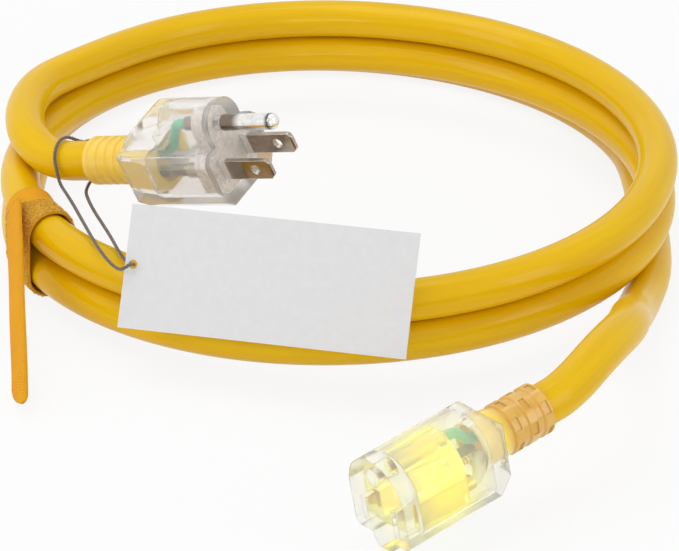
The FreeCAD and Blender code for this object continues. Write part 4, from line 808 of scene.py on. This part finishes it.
def strap_tail():
    """The free end: the same outline carried straight down, rounded at its root and at its slanted tip."""
    joint = next(joint for joint in frame["joints"] if joint["name"] == "strap_peel")
    root, width, run = np.array(joint["pos_m"]), -unit(np.array(joint["axis"])), unit(np.array(TAIL_RUN))
    turn, half_width = np.linspace(0, np.pi / 2, TAIL_END_STEPS), STRAP_WIDTH / 2
    reach = np.concatenate([TAIL_ROOT_ROUND * (1 - np.cos(turn[:-1])),
                            np.linspace(TAIL_ROOT_ROUND, TAIL_LENGTH, TAIL_STATIONS),
                            TAIL_LENGTH + half_width * np.sin(turn[1:])])[:, None]
    narrow = np.concatenate([np.sin(turn[:-1]), np.ones(TAIL_STATIONS), np.cos(turn[1:])])
    across, lift = flat_profile().T
    across = narrow.clip(TAIL_LEAST_WIDTH)[:, None] * across
    slant = np.clip((reach - TAIL_SLANT_START) / (TAIL_LENGTH - TAIL_SLANT_START), 0, 1) ** 2 * TAIL_SLANT
    along = reach + slant * across / half_width
    lift = lift + TAIL_RIPPLE * np.sin(reach / TAIL_RIPPLE_PITCH)
    return closed_skin(root + along[..., None] * run + across[..., None] * width
                       + lift[..., None] * np.cross(run, width))


def woven_group():
    """Fine diagonal ribs from a piece's own UV map: a height from 0 to 1 across each thread."""
    tree, net, given, made = effect_group(
        "woven_rib", {"Lay": "Vector", "Across": "Float", "Along": "Float"}, {"Height": "Float"})
    x, y = (net.put("SeparateXYZ", {"Vector": given["Lay"]}, axis) for axis in ("X", "Y"))
    phase = net.calc("ADD", net.calc("MULTIPLY", x, given["Across"]),
                     net.calc("MULTIPLY", y, given["Along"]))
    wave = net.calc("SINE", net.calc("MULTIPLY", phase, tau))
    net.join(made["Height"], net.ranged(wave, -1, 1, 0, 1))
    return tree


def ribbed(finish, tone, shade_share):
    """The height of the ribs, their relief, and the tone shaded in the grooves between them."""
    rib = finish.effect(woven_rib, {"Lay": finish.lay(), "Across": RIBS_ACROSS,
                                    "Along": RIBS_ALONG})["Height"]
    relief = finish.put("Bump", {"Height": rib, "Distance": RIB_RELIEF, "Strength": RIB_STRENGTH})
    return rib, relief, finish.blend(finish.ranged(rib, 0, 1, shade_share, 0), tone, RIB_SHADE)


def smooth_webbing():
    """The strap's smooth back: orange nylon in a fine slanting twill, slightly shiny, in tones darkened as painted
    shade.
    """
    finish = Finish("smooth_webbing", Sheen_Weight=0.02, Specular_IOR_Level=0.05)
    rib, relief, tone = ribbed(finish, finish.cloud(TAIL_SHADED_ORANGE, TAIL_SHADED_AMBER, scale=190), shade_share=0.50)
    return finish.feed(Base_Color=tone, Roughness=finish.ranged(rib, 0, 1, *SMOOTH_ROUGHNESS),
                       Normal=relief)


def looped_webbing():
    """The looped face's ground: dark ochre, painted shade under the loops; smooth orange on the bare patch and the
    bound edge.
    """
    finish = Finish("looped_ground", Sheen_Weight=0.05, Specular_IOR_Level=0.08)
    bare = finish.put("Attribute", {}, "Fac", attribute_name="bare")
    rib, relief, orange = ribbed(finish, STRAP_ORANGE, shade_share=0.35)
    # The dark ground is painted shade under the loops.
    ground = finish.cloud(LOOP_SHADED_GROUND, LOOP_OCHRE, scale=1500)
    return finish.feed(Base_Color=finish.blend(bare, ground, orange), Normal=relief,
                       Roughness=finish.ranged(rib, 0, 1, *LOOPED_ROUGHNESS))


def loop_thread():
    """Crimped thread between ochre and gold at random; the gold is a painted highlight."""
    finish = Finish("loop_thread", Sheen_Weight=0.08, Specular_IOR_Level=0.15)
    return finish.feed(Base_Color=finish.cloud(LOOP_OCHRE, LOOP_HIGHLIGHT_GOLD, scale=1100),
                       Roughness=finish.haze(scale=2200, smooth=0.5, rough=0.8))


woven_rib = woven_group()
wrap = new_piece("strap_turns", [strap_band(0), strap_band(1)], looped_webbing(), sharp_angle=80)
mark_bare(wrap)
fuzz = new_piece("strap_loops", loop_fibres(), loop_thread(), sharp_angle=180)
tail = new_piece("strap_free_tail", [strap_tail()], smooth_webbing(), sharp_angle=80)
for piece, body in ((wrap, "root"), (fuzz, "root"), (tail, "strap_free_end")):
    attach(piece, body)
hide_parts("strap_wrap")
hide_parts("strap_tail")


# The card tag
# A stiff white-coated card, cut square, with one punched hole. Its face is bare and pale grey, and
# the cut edges show the card's white core.

CARD_GREY, CARD_LIGHT, CARD_CORE = (0.675, 0.672, 0.682), (0.705, 0.702, 0.712), (0.86, 0.85, 0.83)


def tag_card():
    """Coated card: even pale grey with the faintest fibre, whiter at the cut edge."""
    finish = Finish("pale_card", Coat_Weight=0.08, Coat_Roughness=0.35)
    relief = finish.grain(scale=1300, relief=0.00001)
    _, edge = soft_edges(finish, EDGE_SOFTNESS / 3, relief)
    fibre = finish.cloud(CARD_GREY, CARD_LIGHT, scale=420)
    return finish.feed(Base_Color=finish.blend(edge, fibre, CARD_CORE), Normal=relief,
                       Roughness=finish.haze(scale=1300, smooth=0.50, rough=0.62))


paint(tag_card(), "hang_tag")


# The string
# Grey-brown twine of three twisted strands, looped over the plug's lead, led through the card's hole
# and back, and tied in a small hard knot behind the lead.

STRING_DIAMETER, STRING_LENGTH = 0.0011, 0.1815
STRAND_SHARE, STRAND_TWIST, STRAND_SIDES, STRING_SMOOTHNESS = 0.464, 0.0034, 7, 22
KNOT_ACROSS, KNOT_BACK, KNOT_END, KNOT_APPROACH = 0.0079, 0.0074, 0.00175, 0.0049
LOOP_RADIUS, LOOP_HALF_TURN = 0.00715, np.radians(15)
LOOP_FIRST_ANGLE, LOOP_SPACING, LOOP_CORNERS = 46.0, 31.0, 5
OVER_LEAD = (0.0120, 0.0100)
BEHIND_LEAD = [(0.0080, 0.0013, 0.0090), (0.0078, 0.0014, 0.0113)]
STRING_FRONT = [(-0.0834, -0.0284, 0.0270), (-0.0806, -0.0346, 0.0264), (-0.0778, -0.0438, 0.0274),
                (-0.0750, -0.0540, 0.0286), (-0.0716, -0.0656, 0.0296), (-0.0682, -0.0760, 0.0300),
                (-0.0646, -0.0852, 0.0304), (-0.0616, -0.0910, 0.0309)]
STRING_BACK = [(-0.0589, -0.0854, 0.0298), (-0.0618, -0.0786, 0.0298), (-0.0648, -0.0692, 0.0298),
               (-0.0680, -0.0588, 0.0288), (-0.0714, -0.0472, 0.0272), (-0.0742, -0.0360, 0.0256),
               (-0.0760, -0.0268, 0.0246)]
TAG_AZIMUTH, TAG_LEAN = np.radians(256), np.radians(30)
HOLE_FRONT, HOLE_BACK, HOLE_TURN, HOLE_ENTRY = 0.0026, 0.0020, 0.0024, (-0.0023, -0.0017, -0.0011)
KNOT_STEPS, KNOT_RADIUS, KNOT_RISE = 140, 0.00035, 0.00105
TWINE_GREY, TWINE_BROWN = (0.21, 0.175, 0.15), (0.11, 0.085, 0.068)


def beside_lead(across, up, station):
    """A place beside the plug's lead, measured from its middle behind the boot."""
    return plug.place((across, PLUG_CORD_HEIGHT + up, -PLUG_BOOT_END - station))


def string_points():
    """From the knot over the lead in a ring of corners, down to the card's hole, through it and back."""
    hinge = next(joint for joint in frame["joints"] if joint["name"] == "tag_swing")
    hole = np.array(hinge["pos_m"])
    out = np.array([np.cos(TAG_AZIMUTH) * np.cos(TAG_LEAN), np.sin(TAG_AZIMUTH) * np.cos(TAG_LEAN),
                    np.sin(TAG_LEAN)])
    corners = [beside_lead(KNOT_ACROSS, KNOT_END, KNOT_BACK)]
    corners += [beside_lead(*place) for place in BEHIND_LEAD]
    reach = LOOP_RADIUS / np.cos(LOOP_HALF_TURN)
    for index in range(LOOP_CORNERS):
        angle = np.radians(LOOP_FIRST_ANGLE + index * LOOP_SPACING)
        station = np.interp(index, (0, LOOP_CORNERS - 1), OVER_LEAD)
        corners.append(beside_lead(reach * np.cos(angle), reach * np.sin(angle), station))
    corners += STRING_FRONT
    corners += [hole + out * HOLE_TURN + HOLE_ENTRY, hole + out * HOLE_FRONT, hole - out * HOLE_BACK]
    corners += STRING_BACK
    corners += [beside_lead(KNOT_ACROSS / 2, -KNOT_ACROSS, KNOT_BACK),
                beside_lead(KNOT_ACROSS, -KNOT_APPROACH, KNOT_BACK),
                beside_lead(KNOT_ACROSS, -KNOT_END, KNOT_BACK)]
    return np.array(corners)


def twisted_strands(line, reference):
    """Three strands laid round the line in a steady helix, touching each other."""
    side, rise = line_frames(line, reference)
    travel = np.concatenate([[0], np.cumsum(np.linalg.norm(np.diff(line, axis=0), axis=1))])
    thick = STRING_DIAMETER / 2 * STRAND_SHARE
    skins = []
    for strand in range(3):
        turn = (tau * (travel / STRAND_TWIST + strand / 3))[:, None]
        centre = line + (STRING_DIAMETER / 2 - thick) * (np.cos(turn) * side + np.sin(turn) * rise)
        skins.append(closed_skin(round_tube(centre, thick, STRAND_SIDES, reference)))
    return skins


def knot_line():
    """A trefoil: across by sin t + 2 sin 2t, along by cos t - 2 cos 2t, and down by sin 3t."""
    t = np.linspace(0, tau, KNOT_STEPS)
    across, along = np.sin(t) + 2 * np.sin(2 * t), np.cos(t) - 2 * np.cos(2 * t)
    middle = beside_lead(KNOT_ACROSS, 0, KNOT_BACK)
    return (middle + KNOT_RADIUS * (across[:, None] * plug.across + along[:, None] * plug.forward)
            - KNOT_RISE * np.sin(3 * t)[:, None] * plug.up), middle


def twine():
    """Hairy twisted thread: grey-brown, darker in patches."""
    finish = Finish("grey_twine", Sheen_Weight=0.3)
    return finish.feed(Base_Color=finish.cloud(TWINE_BROWN, TWINE_GREY, scale=2600),
                       Roughness=finish.haze(scale=5200, smooth=0.7, rough=0.95),
                       Normal=finish.grain(scale=5200, relief=0.00005))


thread = twine()
string_line = smooth_line(string_points(), STRING_SMOOTHNESS)
string_strands = twisted_strands(string_line, tuple(plug.forward))
string = new_piece("tag_twine", string_strands, thread, sharp_angle=180)
tied_line, tied_middle = knot_line()
knot_strands = twisted_strands(tied_line, unit(tied_line - tied_middle))
knot = new_piece("twine_knot", knot_strands, thread, sharp_angle=180)
for piece in (string, knot):
    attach(piece, "root")
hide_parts("tag_string")
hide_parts("string_knot")
tuple(string_points()[0])
